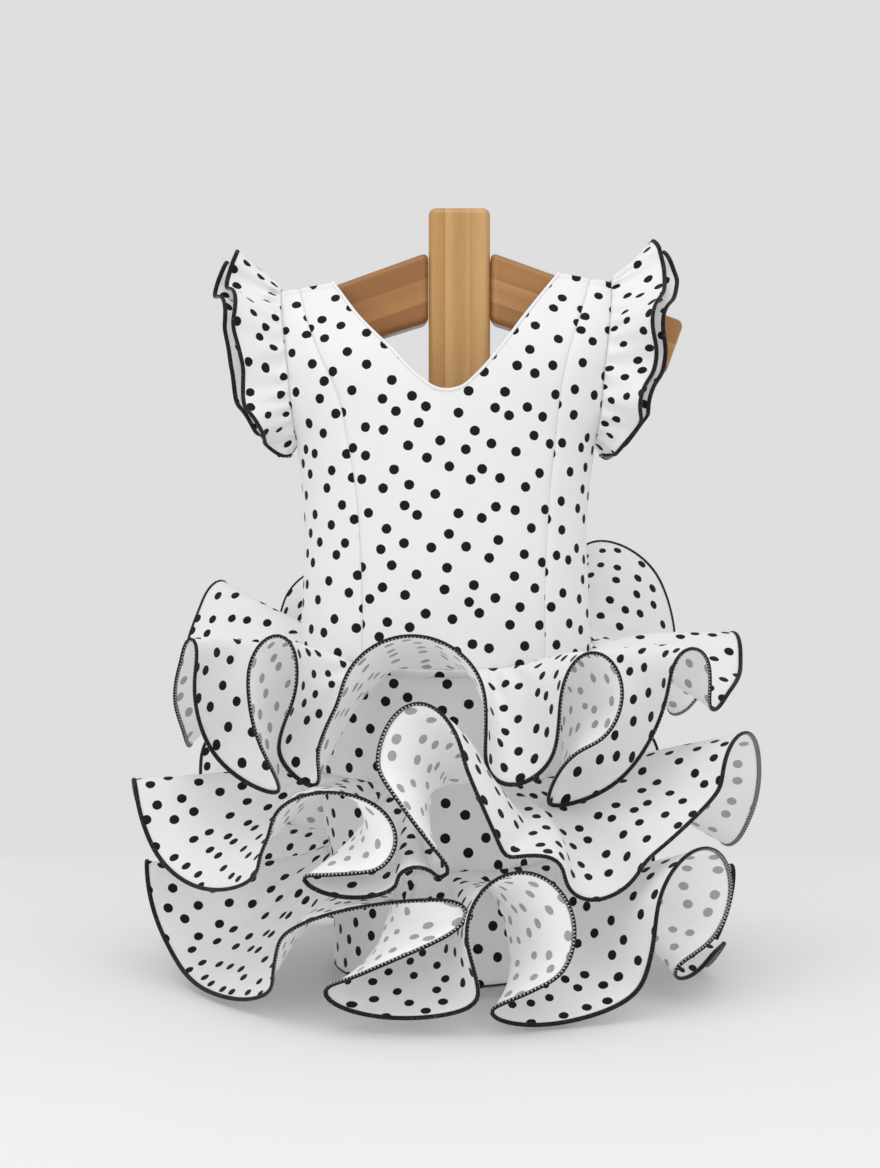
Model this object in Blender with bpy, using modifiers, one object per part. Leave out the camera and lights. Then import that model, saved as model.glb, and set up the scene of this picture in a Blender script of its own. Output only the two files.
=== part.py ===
"""A small child's flamenco dress standing on a plain wooden T-shaped stand.

Units are metres, +Z is up, the front of the dress faces -Y and the floor is Z = 0.
Left and right are the viewer's, seen from the front. The cloth pieces are open surfaces
with a wall put on by Solidify: bodice panels, piping, two ruffle layers on each
armhole, skirt panels and three ruffle tiers whose edge folds are read from short tables.
"""

import math
from collections import namedtuple

import bmesh
import bpy
import numpy as np

# Cloth
WALL = 0.0015
SEAM_GAP = 0.0004
WOOD_CLEARANCE = 0.0017

# Wooden stand
POST_X = 0.0106
POST_WIDTH = 0.049
POST_THICKNESS = 0.028
POST_TOP = 0.606
POST_CORNER = 0.006
WOOD_EDGE = 0.006
WOOD_EDGE_SEGMENTS = 2
ARM_TOP_AT_POST_CENTRE = 0.580
ARM_SLOPE = 0.36
ARM_REACH = 0.179
ARM_ROOT_HEIGHT = 0.056
ARM_END_HEIGHT = 0.046
BASE_WIDTH = 0.130
BASE_DEPTH = 0.104
BASE_THICKNESS = 0.015
BASE_EDGE = 0.003

# Shoulders and neck
NECK_X = 0.091
SHOULDER_TIP_X = 0.131
SHOULDER_TIP_LIFT = 0.008
BACK_NECK_LOW = 0.466
PIPING_RADIUS = 0.0013
PIPING_LIFT = 0.0011
PIPING_GAP = 0.0005
PIPING_EASE = 0.0030
NECK_CROWDING = 2.0

# Armholes
UNDERARM = 0.421
ARMHOLE_FLARE = 1.10
ARMHOLE_RADII = (0.036, 0.062)

# Skirt
HIP_LAP = 0.006
SKIRT_HEM = 0.007
SKIRT_TOP_GAP = 0.0012
BODY_ROUNDNESS = 2.3
SHOULDER_BOXINESS = 3.7

# How far the cloth lies from the middle plane, at distances below the shoulder line
DepthRow = namedtuple("DepthRow", "below front back")
DEPTHS = (
    DepthRow(0.0000, 0.0000, 0.0000),
    DepthRow(0.0004, 0.0120, 0.0120),
    DepthRow(0.006, 0.0185, 0.0185),
    DepthRow(0.016, 0.0270, 0.0270),
    DepthRow(0.035, 0.0400, 0.0380),
    DepthRow(0.060, 0.0550, 0.0500),
    DepthRow(0.090, 0.0655, 0.0600),
    DepthRow(0.130, 0.0705, 0.0660),
    DepthRow(0.200, 0.0715, 0.0690),
    DepthRow(0.270, 0.0735, 0.0735),
    DepthRow(0.335, 0.0745, 0.0745),
    DepthRow(0.400, 0.0890, 0.0890),
    DepthRow(0.480, 0.1085, 0.1085),
)

# Half width of the body: side seam below the underarm, armhole edge above it
SideRow = namedtuple("SideRow", "height half_width")
SIDES = (
    SideRow(0.020, 0.0880),
    SideRow(0.085, 0.0900),
    SideRow(0.165, 0.1040),
    SideRow(0.240, 0.1145),
    SideRow(0.270, 0.1145),
    SideRow(0.300, 0.1130),
    SideRow(0.340, 0.1115),
    SideRow(0.380, 0.1135),
    SideRow(0.421, 0.1180),
    SideRow(0.446, 0.1210),
    SideRow(0.476, 0.1235),
    SideRow(0.503, 0.1270),
    SideRow(0.530, 0.1300),
    SideRow(0.560, 0.1310),
)

# The two front seams from shoulder to hip
PrincessRow = namedtuple("PrincessRow", "height left right")
PRINCESS_SEAMS = (
    PrincessRow(0.240, -0.0645, 0.0755),
    PrincessRow(0.287, -0.0645, 0.0755),
    PrincessRow(0.320, -0.0655, 0.0765),
    PrincessRow(0.352, -0.0670, 0.0785),
    PrincessRow(0.386, -0.0705, 0.0810),
    PrincessRow(0.416, -0.0760, 0.0840),
    PrincessRow(0.453, -0.0840, 0.0880),
    PrincessRow(0.486, -0.0990, 0.0950),
    PrincessRow(0.516, -0.1100, 0.1045),
    PrincessRow(0.550, -0.1190, 0.1150),
)

# Front neckline between the two shoulders
NeckRow = namedtuple("NeckRow", "x height")
FRONT_NECK = (
    NeckRow(-0.0667, 0.5110),
    NeckRow(-0.0443, 0.4876),
    NeckRow(-0.0197, 0.4625),
    NeckRow(-0.0079, 0.4550),
    NeckRow(0.0002, 0.4537),
    NeckRow(0.0125, 0.4564),
    NeckRow(0.0245, 0.4664),
    NeckRow(0.0408, 0.4850),
    NeckRow(0.0617, 0.5137),
)

# Ruffle edge folds. Each row is an arc over a crest or under a trough, as seen from
# outside: its turn about the Z axis and height, its half width as a turn and half
# height, how far each side wraps past the half round, and its lean, in degrees
Fold = namedtuple("Fold", "kind turn height half_turn half_height wrap_in wrap_out lean")
CREST, TROUGH = "crest", "trough"

# A tier: its seam on the skirt, its depth from seam to edge and how much its middle bows
Tier = namedtuple("Tier", "name seam_height seam_rise depth bow folds")

TIER_1 = Tier("tier_1", 0.242, 0.034, 0.118, 0.004, (
    Fold(CREST, -118, 0.288, 4.5, 0.024, 0, 0, 0),
    Fold(TROUGH, -86, 0.212, 17, 0.034, 0, 0, 0),
    Fold(CREST, -58.5, 0.252, 2.5, 0.018, 0, 0, 0),
    Fold(TROUGH, -51.5, 0.180, 8.5, 0.030, 0, 0, 0),
    Fold(CREST, -36.5, 0.240, 5.6, 0.032, 0, 50, -8),
    Fold(TROUGH, -35.5, 0.182, 5, 0.024, 0, 0, 0),
    Fold(CREST, -7.3, 0.225, 15.2, 0.046, 0, 0, 0),
    Fold(TROUGH, 16.3, 0.187, 8, 0.025, 0, 0, 0),
    Fold(CREST, 30.3, 0.224, 7.1, 0.036, 0, 60, 0),
    Fold(TROUGH, 37, 0.170, 9.5, 0.029, 40, 0, 0),
    Fold(CREST, 55, 0.236, 6.3, 0.025, 0, 0, 0),
    Fold(TROUGH, 67, 0.222, 4, 0.012, 0, 0, 0),
    Fold(CREST, 95, 0.245, 8, 0.023, 0, 0, 0),
    Fold(TROUGH, 112, 0.215, 5, 0.020, 0, 0, 0),
    Fold(CREST, 134, 0.303, 13, 0.042, 0, 0, 0),
    Fold(TROUGH, 153, 0.225, 5, 0.030, 0, 0, 0),
    Fold(CREST, 172, 0.285, 12, 0.040, 0, 0, 0),
    Fold(TROUGH, 191, 0.220, 6, 0.030, 0, 0, 0),
    Fold(CREST, 210, 0.285, 13, 0.038, 0, 0, 0),
    Fold(TROUGH, 232, 0.215, 5, 0.025, 0, 0, 0),
))
TIER_2 = Tier("tier_2", 0.157, 0.012, 0.142, 0.000, (
    Fold(CREST, -80, 0.140, 4, 0.016, 0, 0, 0),
    Fold(TROUGH, -54, 0.115, 19, 0.031, 0, 0, 0),
    Fold(CREST, -20, 0.133, 11.5, 0.032, 0, 45, 0),
    Fold(TROUGH, -17.5, 0.105, 9.5, 0.014, 0, 0, 0),
    Fold(CREST, -5, 0.103, 4, 0.013, 0, 0, 0),
    Fold(TROUGH, -1, 0.112, 2, 0.006, 0, 0, 0),
    Fold(CREST, -4.6, 0.183, 7.4, 0.044, 0, 0, 4),
    Fold(CREST, 14.5, 0.118, 4.5, 0.004, 0, 0, 0),
    Fold(TROUGH, 28.5, 0.112, 8, 0.027, 0, 0, 0),
    Fold(CREST, 68, 0.160, 13, 0.036, 0, 0, 0),
    Fold(TROUGH, 97, 0.114, 9, 0.020, 0, 0, 0),
    Fold(CREST, 113, 0.130, 4, 0.018, 0, 0, 0),
    Fold(TROUGH, 124, 0.110, 5, 0.020, 0, 0, 0),
    Fold(CREST, 138, 0.150, 9, 0.036, 5, 5, 0),
    Fold(TROUGH, 158, 0.110, 10, 0.026, 0, 0, 0),
    Fold(CREST, 182, 0.155, 11, 0.038, 10, 10, 0),
    Fold(TROUGH, 213, 0.108, 9, 0.028, 0, 0, 0),
    Fold(CREST, 232.5, 0.150, 8, 0.034, 5, 5, 0),
    Fold(TROUGH, 247.5, 0.110, 5, 0.024, 0, 0, 0),
    Fold(CREST, 256, 0.125, 3, 0.014, 0, 0, 0),
    Fold(TROUGH, 266, 0.118, 3, 0.014, 0, 0, 0),
))
TIER_3 = Tier("tier_3", 0.094, 0.006, 0.145, -0.008, (
    Fold(CREST, -86, 0.070, 3.5, 0.020, 0, 0, 0),
    Fold(TROUGH, -56, 0.030, 24, 0.025, 0, 0, 0),
    Fold(CREST, -12.5, 0.072, 17, 0.018, 0, 60, 15),
    Fold(TROUGH, -8, 0.027, 13.5, 0.015, 50, 0, 0),
    Fold(CREST, 11.5, 0.071, 8.6, 0.045, 0, 45, 4),
    Fold(TROUGH, 21.2, 0.022, 14.7, 0.018, 0, 0, 5),
    Fold(CREST, 48, 0.076, 12, 0.043, 0, 40, 0),
    Fold(TROUGH, 57, 0.030, 8, 0.014, 0, 0, 0),
    Fold(TROUGH, 84, 0.032, 8, 0.027, 0, 0, 0),
    Fold(CREST, 98, 0.059, 4, 0.020, 0, 0, 0),
    Fold(TROUGH, 118, 0.045, 11, 0.038, 0, 0, 0),
    Fold(CREST, 138, 0.075, 7, 0.036, 5, 5, 0),
    Fold(TROUGH, 158, 0.042, 11, 0.037, 0, 0, 0),
    Fold(CREST, 182, 0.078, 8, 0.036, 10, 10, 0),
    Fold(TROUGH, 205, 0.042, 12, 0.037, 0, 0, 0),
    Fold(CREST, 227, 0.075, 7, 0.034, 5, 5, 0),
    Fold(TROUGH, 250, 0.040, 10, 0.035, 0, 0, 0),
))
TIERS = (TIER_1, TIER_2, TIER_3)
LOWEST_EDGE = 0.0030
TIER_COLUMNS = 172
TIER_ROWS = 4
ARC_STEPS = 14
PATH_STEPS = 1600
PATH_SMOOTHING = 30
SEAM_SHARE_SMOOTHING = 450
SEAM_SHARE = 0.5
TIER_STAND_OFF = WALL * 1.5 + SEAM_GAP
NEAREST_EDGE = 0.010
SWING_LATE = 1.4
RUFFLE_WALL = 0.0011

# Grid counts of the panels
PANEL_ROWS = 15
NECK_COLUMNS = 8
SKIRT_COLUMNS = 17
SKIRT_ROWS = 6

# Armhole ruffles: how far the edge stands from the seam, by place along the armhole from
# the front underarm (0) over the shoulder (0.5) to the back underarm (1)
SleeveRow = namedtuple("SleeveRow", "place out away")
LONG_LAYER = (
    SleeveRow(0.00, 0.004, 0.002),
    SleeveRow(0.05, 0.018, 0.007),
    SleeveRow(0.11, 0.029, 0.015),
    SleeveRow(0.17, 0.036, 0.026),
    SleeveRow(0.23, 0.044, 0.014),
    SleeveRow(0.31, 0.042, 0.032),
    SleeveRow(0.40, 0.052, 0.012),
    SleeveRow(0.50, 0.043, 0.025),
    SleeveRow(0.59, 0.051, 0.012),
    SleeveRow(0.68, 0.042, 0.030),
    SleeveRow(0.77, 0.045, 0.013),
    SleeveRow(0.84, 0.035, 0.024),
    SleeveRow(0.92, 0.024, 0.010),
    SleeveRow(1.00, 0.004, 0.002),
)
SHORT_LAYER_SHARE = 0.80
SHORT_LAYER_AWAY = 0.0090
LAYER_GAP = 0.0030
SLEEVE_COLUMNS = 44
SLEEVE_ROWS = 2
SLEEVE_START = 0.012
SLEEVE_SEAM_OUT = 0.0020

# Colours and finishes
WHITE_CLOTH = ((0.76, 0.76, 0.75), 0.85)
WHITE_TRIM = ((0.80, 0.80, 0.79), 0.75)
PINE = ((0.47, 0.26, 0.10), 0.38)
COLLECTION = "flamenco_dress_on_stand"


def clear_scene():
    for obj in list(bpy.data.objects):
        bpy.data.objects.remove(obj)


def hermite(xs, ys, at):
    """Smooth curve through the points (xs, ys), read at the places at."""
    xs, ys, at = np.asarray(xs, float), np.asarray(ys, float), np.asarray(at, float)
    slopes = np.gradient(ys, xs)
    i = np.clip(np.searchsorted(xs, at) - 1, 0, len(xs) - 2)
    step = xs[i + 1] - xs[i]
    t = np.clip((at - xs[i]) / step, 0, 1)
    return (
        (2 * t**3 - 3 * t**2 + 1) * ys[i]
        + (t**3 - 2 * t**2 + t) * step * slopes[i]
        + (3 * t**2 - 2 * t**3) * ys[i + 1]
        + (t**3 - t**2) * step * slopes[i + 1]
    )


def column(rows, name):
    return [getattr(row, name) for row in rows]


def smoothstep(low, high, at):
    t = np.clip((np.asarray(at, float) - low) / (high - low), 0, 1)
    return t * t * (3 - 2 * t)


def arm_top(x):
    """Height of the top of the stand's arms."""
    return ARM_TOP_AT_POST_CENTRE - ARM_SLOPE * np.abs(np.asarray(x, float) - POST_X)


def shoulder_line(x):
    """Height of the cloth's inner face along the shoulders: it rests near the neck and lifts outwards."""
    lift = SHOULDER_TIP_LIFT * np.clip((np.abs(x) - NECK_X) / (SHOULDER_TIP_X - NECK_X), 0, 1)
    return arm_top(x) + WOOD_CLEARANCE + lift


def half_width(z):
    return hermite(column(SIDES, "height"), column(SIDES, "half_width"), z)


def depth_at(x, z, back):
    """Distance of the cloth from the middle plane at the width's centre, for the front or the back."""
    below = np.maximum(shoulder_line(x) - z, 0)
    roots = np.sqrt(column(DEPTHS, "below"))
    return hermite(roots, column(DEPTHS, "back" if back else "front"), np.sqrt(below))


def body_y(x, z, back=False):
    """The body's surface: an oval below the underarm, boxier and open to the side above it."""
    above = smoothstep(UNDERARM - 0.002, UNDERARM + 0.030, z)
    widest = half_width(z) * (1 + (ARMHOLE_FLARE - 1) * above)
    power = BODY_ROUNDNESS + SHOULDER_BOXINESS * smoothstep(0.440, 0.520, z)
    share = np.clip(1 - np.abs(np.asarray(x) / widest) ** power, 0, 1)
    y = depth_at(x, z, back) * np.sqrt(share) + SEAM_GAP / 2
    return y if back else -y


def body_normal(x, z, back=False):
    """Unit vectors pointing out of the body's surface."""
    step = 0.0005
    y_x = (body_y(x + step, z, back) - body_y(x - step, z, back)) / (2 * step)
    y_z = (body_y(x, z + step, back) - body_y(x, z - step, back)) / (2 * step)
    normal = np.stack([-y_x, np.ones_like(y_x), -y_z], -1) * (1 if back else -1)
    return normal / np.linalg.norm(normal, axis=-1, keepdims=True)


def hip_height(x, back=False):
    """Height of the first tier's seam, which rises towards the back."""
    share = np.clip(np.asarray(x, float) / half_width(TIER_1.seam_height), -1, 1)
    front = np.sqrt(1 - share**2) * (-1 if back else 1)
    return TIER_1.seam_height + TIER_1.seam_rise * (1 - front) / 2


def resample(points, shares):
    """The path's points at shares of its length."""
    points = np.asarray(points, float)
    along = np.concatenate([[0], np.cumsum(np.linalg.norm(np.diff(points, axis=0), axis=1))])
    at = np.asarray(shares) * along[-1]
    return np.stack([np.interp(at, along, points[:, k]) for k in range(points.shape[1])], 1)


def towards_side(count):
    """Shares of a width that crowd together at the side seam, where the body turns away."""
    return np.sin(np.linspace(0, math.pi / 2, count))


def smooth_path(rows, count):
    """A curve through (x, height) points, by the distance along them."""
    rows = np.asarray(rows, float)
    along = np.concatenate([[0], np.cumsum(np.linalg.norm(np.diff(rows, axis=0), axis=1))])
    at = np.linspace(0, along[-1], count)
    return np.stack([hermite(along, rows[:, 0], at), hermite(along, rows[:, 1], at)], 1)


def front_neckline(count=120):
    left = (-NECK_X, float(shoulder_line(-NECK_X)))
    right = (NECK_X, float(shoulder_line(NECK_X)))
    return smooth_path([left, *FRONT_NECK, right], count)


def back_neckline(side, count=60):
    """From the shoulder down to the centre-back seam, a plain low V."""
    top = (side * NECK_X, float(shoulder_line(side * NECK_X)))
    rows = [
        top,
        (side * 0.066, 0.514),
        (side * 0.040, 0.490),
        (side * 0.018, 0.472),
        (0.0, BACK_NECK_LOW),
    ]
    return smooth_path(rows, count)


def shoulder_path(x_from, x_to, count=12):
    xs = np.linspace(x_from, x_to, count)
    return np.stack([xs, shoulder_line(xs)], 1)


def side_path(side, low, high, count=60):
    """The side seam and the armhole edge, upwards."""
    zs = np.linspace(low, high, count)
    return np.stack([side * half_width(zs), zs], 1)


def princess_path(side, low, high, count=60):
    zs = np.linspace(low, high, count)
    name = "left" if side < 0 else "right"
    xs = hermite(column(PRINCESS_SEAMS, "height"), column(PRINCESS_SEAMS, name), zs)
    return np.stack([xs, zs], 1)


def towards_shoulder(count):
    """Shares of a height that crowd together at the top, where the cloth turns over the shoulder."""
    return 1 - np.linspace(1, 0, count) ** 2.0


def over_arm(lengths, counts):
    """Shares of a path in several lengths: each length of the neck crowds its points where it meets an arm."""
    ends = np.cumsum([0, *lengths]) / sum(lengths)
    shares = [0.0]
    for low, high, (count, power, from_low) in zip(ends, ends[1:], counts):
        u = np.linspace(0, 1, count + 1)[1:]
        if from_low:
            shares.extend(low + (high - low) * u**power)
        else:
            shares.extend(low + (high - low) * (1 - (1 - u) ** power))
    return np.array(shares)


def path_length(path):
    return float(np.linalg.norm(np.diff(path, axis=0), axis=1).sum())


def coons(bottom, top, left, right, across, up):
    """A patch of (x, height) points between four border paths, at shares across and up."""
    b, t = resample(bottom, across), resample(top, across)
    l, r = resample(left, up), resample(right, up)
    l[0], l[-1], r[0], r[-1] = b[0], t[0], b[-1], t[-1]
    u, v = np.asarray(across)[None, :, None], np.asarray(up)[:, None, None]
    ruled = (1 - v) * b[None] + v * t[None] + (1 - u) * l[:, None] + u * r[:, None]
    corners = (1 - u) * (1 - v) * b[0] + u * (1 - v) * b[-1] + (1 - u) * v * t[0] + u * v * t[-1]
    return ruled - corners


def shifted(path, dx=0.0, dz=0.0):
    return np.asarray(path) + np.array([dx, dz])


def new_object(name, mesh, finish, collection):
    colour, roughness = finish
    material = bpy.data.materials.new(name)
    material.use_nodes = True
    shader = material.node_tree.nodes["Principled BSDF"]
    shader.inputs["Base Color"].default_value = (*colour, 1)
    shader.inputs["Roughness"].default_value = roughness
    shader.inputs["Metallic"].default_value = 0
    mesh.materials.append(material)
    if isinstance(mesh, bpy.types.Mesh):
        mesh.shade_smooth()
    obj = bpy.data.objects.new(name, mesh)
    collection.objects.link(obj)
    return obj


def grid_mesh(name, points, ring=False):
    """A grid primitive moved onto a table of 3-D points; a ring's last column lies on its first."""
    rows, columns = points.shape[:2]
    bm = bmesh.new()
    bmesh.ops.create_grid(bm, x_segments=columns - 1, y_segments=rows - 1, size=1)
    for vertex in bm.verts:
        c = round((vertex.co.x + 1) / 2 * (columns - 1))
        r = round((vertex.co.y + 1) / 2 * (rows - 1))
        vertex.co = points[r, c]
    if ring:
        bmesh.ops.remove_doubles(bm, verts=bm.verts, dist=1e-6)
    mesh = bpy.data.meshes.new(name)
    bm.to_mesh(mesh)
    bm.free()
    return mesh


def cloth(name, points, collection, finish=WHITE_CLOTH, ring=False, wall=WALL, offset=1.0):
    """A piece of cloth: the grid of points with a wall on the side that its faces point to."""
    obj = new_object(name, grid_mesh(name, points, ring), finish, collection)
    wall_modifier = obj.modifiers.new("Wall", "SOLIDIFY")
    wall_modifier.thickness = wall
    wall_modifier.offset = offset
    wall_modifier.use_even_offset = ring
    wall_modifier.thickness_clamp = 1.0
    return obj


def lifted(patch, back=False):
    """(x, height) points set on the body's front or back. Faces of the grid then point outwards."""
    x, z = patch[..., 0], patch[..., 1]
    return np.stack([x, body_y(x, z, back), z], -1)


def low_seam_x(side):
    return float(princess_path(side, 0.24, 0.25)[0][0])


def top_seam_x(side):
    """Where a front seam meets the shoulder line."""
    x = side * 0.118
    for _ in range(8):
        x = float(princess_path(side, 0.50, float(shoulder_line(x)))[-1][0])
    return x


def front_side(name, side, collection):
    """The panel between a front seam, the side seam and the armhole."""
    half_gap = SEAM_GAP / 2
    bottom_x = np.linspace(low_seam_x(side) + side * half_gap, side * float(half_width(TIER_1.seam_height)), 30)
    bottom = np.stack([bottom_x, hip_height(bottom_x) - HIP_LAP], 1)
    top = shoulder_path(top_seam_x(side) + side * half_gap, side * SHOULDER_TIP_X)
    inner = shifted(princess_path(side, bottom[0][1], top[0][1]), dx=side * half_gap)
    outer = side_path(side, bottom[-1][1], top[-1][1])
    patch = coons(bottom, top, inner, outer, towards_side(7), towards_shoulder(PANEL_ROWS))
    cloth(name, lifted(patch[:, ::-1] if side < 0 else patch), collection)


def front_top():
    """The middle panel's upper border, strap, neck and strap, with the shares its columns take."""
    half_gap = SEAM_GAP / 2
    neck = front_neckline()
    left_strap = shoulder_path(top_seam_x(-1) + half_gap, -NECK_X)
    right_strap = shoulder_path(NECK_X, top_seam_x(1) - half_gap)
    path = np.concatenate([left_strap[:-1], neck, right_strap[1:]])
    half = path_length(neck) / 2
    lengths = (path_length(left_strap), half, half, path_length(right_strap))
    counts = ((2, 1, True), (NECK_COLUMNS, NECK_CROWDING, True), (NECK_COLUMNS, NECK_CROWDING, False), (2, 1, True))
    return path, over_arm(lengths, counts)


def back_top(side):
    """A back half's upper border from the centre to the shoulder tip, with the shares its columns take."""
    neck = shifted(back_neckline(side)[::-1], dx=side * SEAM_GAP / 2)
    strap = shoulder_path(side * NECK_X, side * SHOULDER_TIP_X)
    path = np.concatenate([neck[:-1], strap])
    counts = ((NECK_COLUMNS, NECK_CROWDING, False), (3, 1.2, True))
    return path, over_arm((path_length(neck), path_length(strap)), counts)


def front_centre(collection):
    """The middle panel: hip, two front seams, two shoulder straps and the V neck between them."""
    half_gap = SEAM_GAP / 2
    bottom_x = np.linspace(low_seam_x(-1) + half_gap, low_seam_x(1) - half_gap, 40)
    bottom = np.stack([bottom_x, hip_height(bottom_x) - HIP_LAP], 1)
    top, shares = front_top()
    left = shifted(princess_path(-1, bottom[0][1], top[0][1]), dx=half_gap)
    right = shifted(princess_path(1, bottom[-1][1], top[-1][1]), dx=-half_gap)
    patch = coons(bottom, top, left, right, shares, towards_shoulder(PANEL_ROWS))
    cloth("front_centre", lifted(patch), collection)


def back_panel(name, side, collection):
    """One half of the back, from the centre-back seam to the side seam and armhole."""
    inner_x = side * SEAM_GAP / 2
    bottom_x = np.linspace(inner_x, side * float(half_width(TIER_1.seam_height)), 40)
    bottom = np.stack([bottom_x, hip_height(bottom_x, back=True) - HIP_LAP], 1)
    top, shares = back_top(side)
    inner = np.array([[inner_x, bottom[0][1]], [inner_x, top[0][1]]])
    outer = side_path(side, bottom[-1][1], top[-1][1])
    patch = coons(bottom, top, inner, outer, shares, towards_shoulder(PANEL_ROWS))
    cloth(name, lifted(patch[:, ::-1] if side > 0 else patch, back=True), collection)


def neck_edge():
    """The neckline as one closed line on the panels' own edge points, with the body's normal at each."""
    places, normals = [], []
    top, shares = front_top()
    front = resample(top, shares)[2:-2]
    top, shares = back_top(1)
    right = resample(top, shares)[: NECK_COLUMNS + 1][::-1]
    top, shares = back_top(-1)
    left = resample(top, shares)[: NECK_COLUMNS + 1]
    for path, back in ((front, False), (right[1:-1], True), (left[:-1], True)):
        x, z = path[:, 0], path[:, 1]
        places.extend(np.stack([x, body_y(x, z, back), z], 1))
        normals.extend(body_normal(x, z, back))
    places, normals = np.array(places), np.array(normals)
    for corner, side in ((0, -1), (len(front) - 1, 1)):
        places[corner, 1] = 0.0
        normals[corner] = np.array([side * ARM_SLOPE, 0, 1]) / math.hypot(1, ARM_SLOPE)
    return places, normals


def neck_piping(collection):
    """A narrow cord-like binding round the whole neckline, just inside the panels' edge."""
    places, normals = neck_edge()
    step = np.roll(places, -1, axis=0) - places
    step /= np.linalg.norm(step, axis=1)[:, None]
    along = (step + np.roll(step, 1, axis=0)) / 2
    inwards = np.cross(normals, along)
    inwards /= np.square(np.linalg.norm(inwards, axis=1))[:, None]
    corner = np.minimum(*(np.linalg.norm(places - places[k], axis=1) for k in (0, 2 * NECK_COLUMNS)))
    ease = PIPING_EASE * (1 - smoothstep(0.030, 0.060, corner))
    line = places + normals * (PIPING_LIFT + ease / 4)[:, None]
    line += inwards * (PIPING_RADIUS + PIPING_GAP + ease)[:, None]
    curve = bpy.data.curves.new("neck_piping", "CURVE")
    curve.dimensions = "3D"
    curve.bevel_depth = PIPING_RADIUS
    curve.bevel_resolution = 1
    spline = curve.splines.new("POLY")
    spline.points.add(len(line) - 1)
    for point, place in zip(spline.points, line):
        point.co = (*place, 1)
    spline.use_cyclic_u = True
    return new_object("neck_piping", curve, WHITE_TRIM, collection)


def armhole_point(side, place):
    """A point on the armhole, from the front underarm (0) over the shoulder (0.5) to the back (1)."""
    top = shoulder_line(side * SHOULDER_TIP_X)
    z = UNDERARM + (top - UNDERARM) * (1 - np.cos(2 * math.pi * place)) / 2
    x = side * half_width(z)
    y = np.where(place > 0.5, body_y(x, z, back=True), body_y(x, z))
    return np.stack([x, y, z], -1)


def sleeve_layer(name, side, share, away_more, collection):
    """One gathered ruffle round an armhole: seam points, and edge points out and away from the arm."""
    place = np.linspace(SLEEVE_START, 1 - SLEEVE_START, SLEEVE_COLUMNS)
    seam = armhole_point(side, place)
    middle = np.array([0, (UNDERARM + float(shoulder_line(side * SHOULDER_TIP_X))) / 2])
    away = (seam[:, 1:] - middle) / np.square(ARMHOLE_RADII)
    away /= np.linalg.norm(away, axis=1)[:, None]
    out = hermite(column(LONG_LAYER, "place"), column(LONG_LAYER, "out"), place) * share
    rise = hermite(column(LONG_LAYER, "place"), column(LONG_LAYER, "away"), place) + away_more
    start = away_more and LAYER_GAP
    seam = seam + np.array([side * SLEEVE_SEAM_OUT, 0, 0])
    seam[:, 1:] += away * start
    edge = seam + np.stack([side * out, away[:, 0] * (rise - start), away[:, 1] * (rise - start)], 1)
    t = np.linspace(0, 1, SLEEVE_ROWS + 1)[:, None, None]
    cloth(name, seam + (edge - seam) * t, collection, wall=RUFFLE_WALL, offset=0.0)


def smooth_ring(values, passes, turn=0.0):
    """Averages each value with its neighbours; the last is followed by the first plus a full turn."""
    for _ in range(passes):
        before, after = np.roll(values, 1), np.roll(values, -1)
        before[0] -= turn
        after[-1] += turn
        values = (before + 2 * values + after) / 4
    return values


def resample_ring(turn, height, radius, count):
    """Points spread evenly along the closed edge path."""
    turn, height = np.append(turn, turn[0] + 360), np.append(height, height[0])
    along = np.concatenate([[0], np.cumsum(np.hypot(np.radians(np.diff(turn)) * radius, np.diff(height)))])
    at = np.linspace(0, along[-1], count, endpoint=False)
    return np.interp(at, along, turn), np.interp(at, along, height)


def fold_arc(fold, radius):
    """The arc of one fold as (turn, height), left to right."""
    if fold.kind == CREST:
        angles = np.radians(np.linspace(180 + fold.wrap_in, -fold.wrap_out, ARC_STEPS))
    else:
        angles = np.radians(np.linspace(180 - fold.wrap_in, 360 + fold.wrap_out, ARC_STEPS))
    lean = math.radians(fold.lean)
    across = math.radians(fold.half_turn) * radius * np.cos(angles)
    up = fold.half_height * np.sin(angles)
    x = across * math.cos(lean) - up * math.sin(lean)
    z = across * math.sin(lean) + up * math.cos(lean)
    return fold.turn + np.degrees(x / radius), fold.height + z


def seam_ring(tier, turn):
    """The tier's seam on the body, just outside the cloth it is sewn to."""
    t = np.radians(turn)
    z = tier.seam_height + tier.seam_rise * (1 - np.cos(t)) / 2
    widest = half_width(z)
    x = widest * np.sin(t)
    y = np.where(np.cos(t) > 0, body_y(x, z), body_y(x, z, back=True))
    depth = np.where(np.cos(t) > 0, depth_at(x, z, False), depth_at(x, z, True))
    normal = np.stack([np.abs(np.sin(t)) ** 1.3 * np.sign(x) * 1.15 / widest, y / depth**2], 1)
    normal /= np.linalg.norm(normal, axis=1)[:, None]
    return np.stack([x, y, z], 1) + np.append(normal, np.zeros((len(x), 1)), 1) * TIER_STAND_OFF


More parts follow.
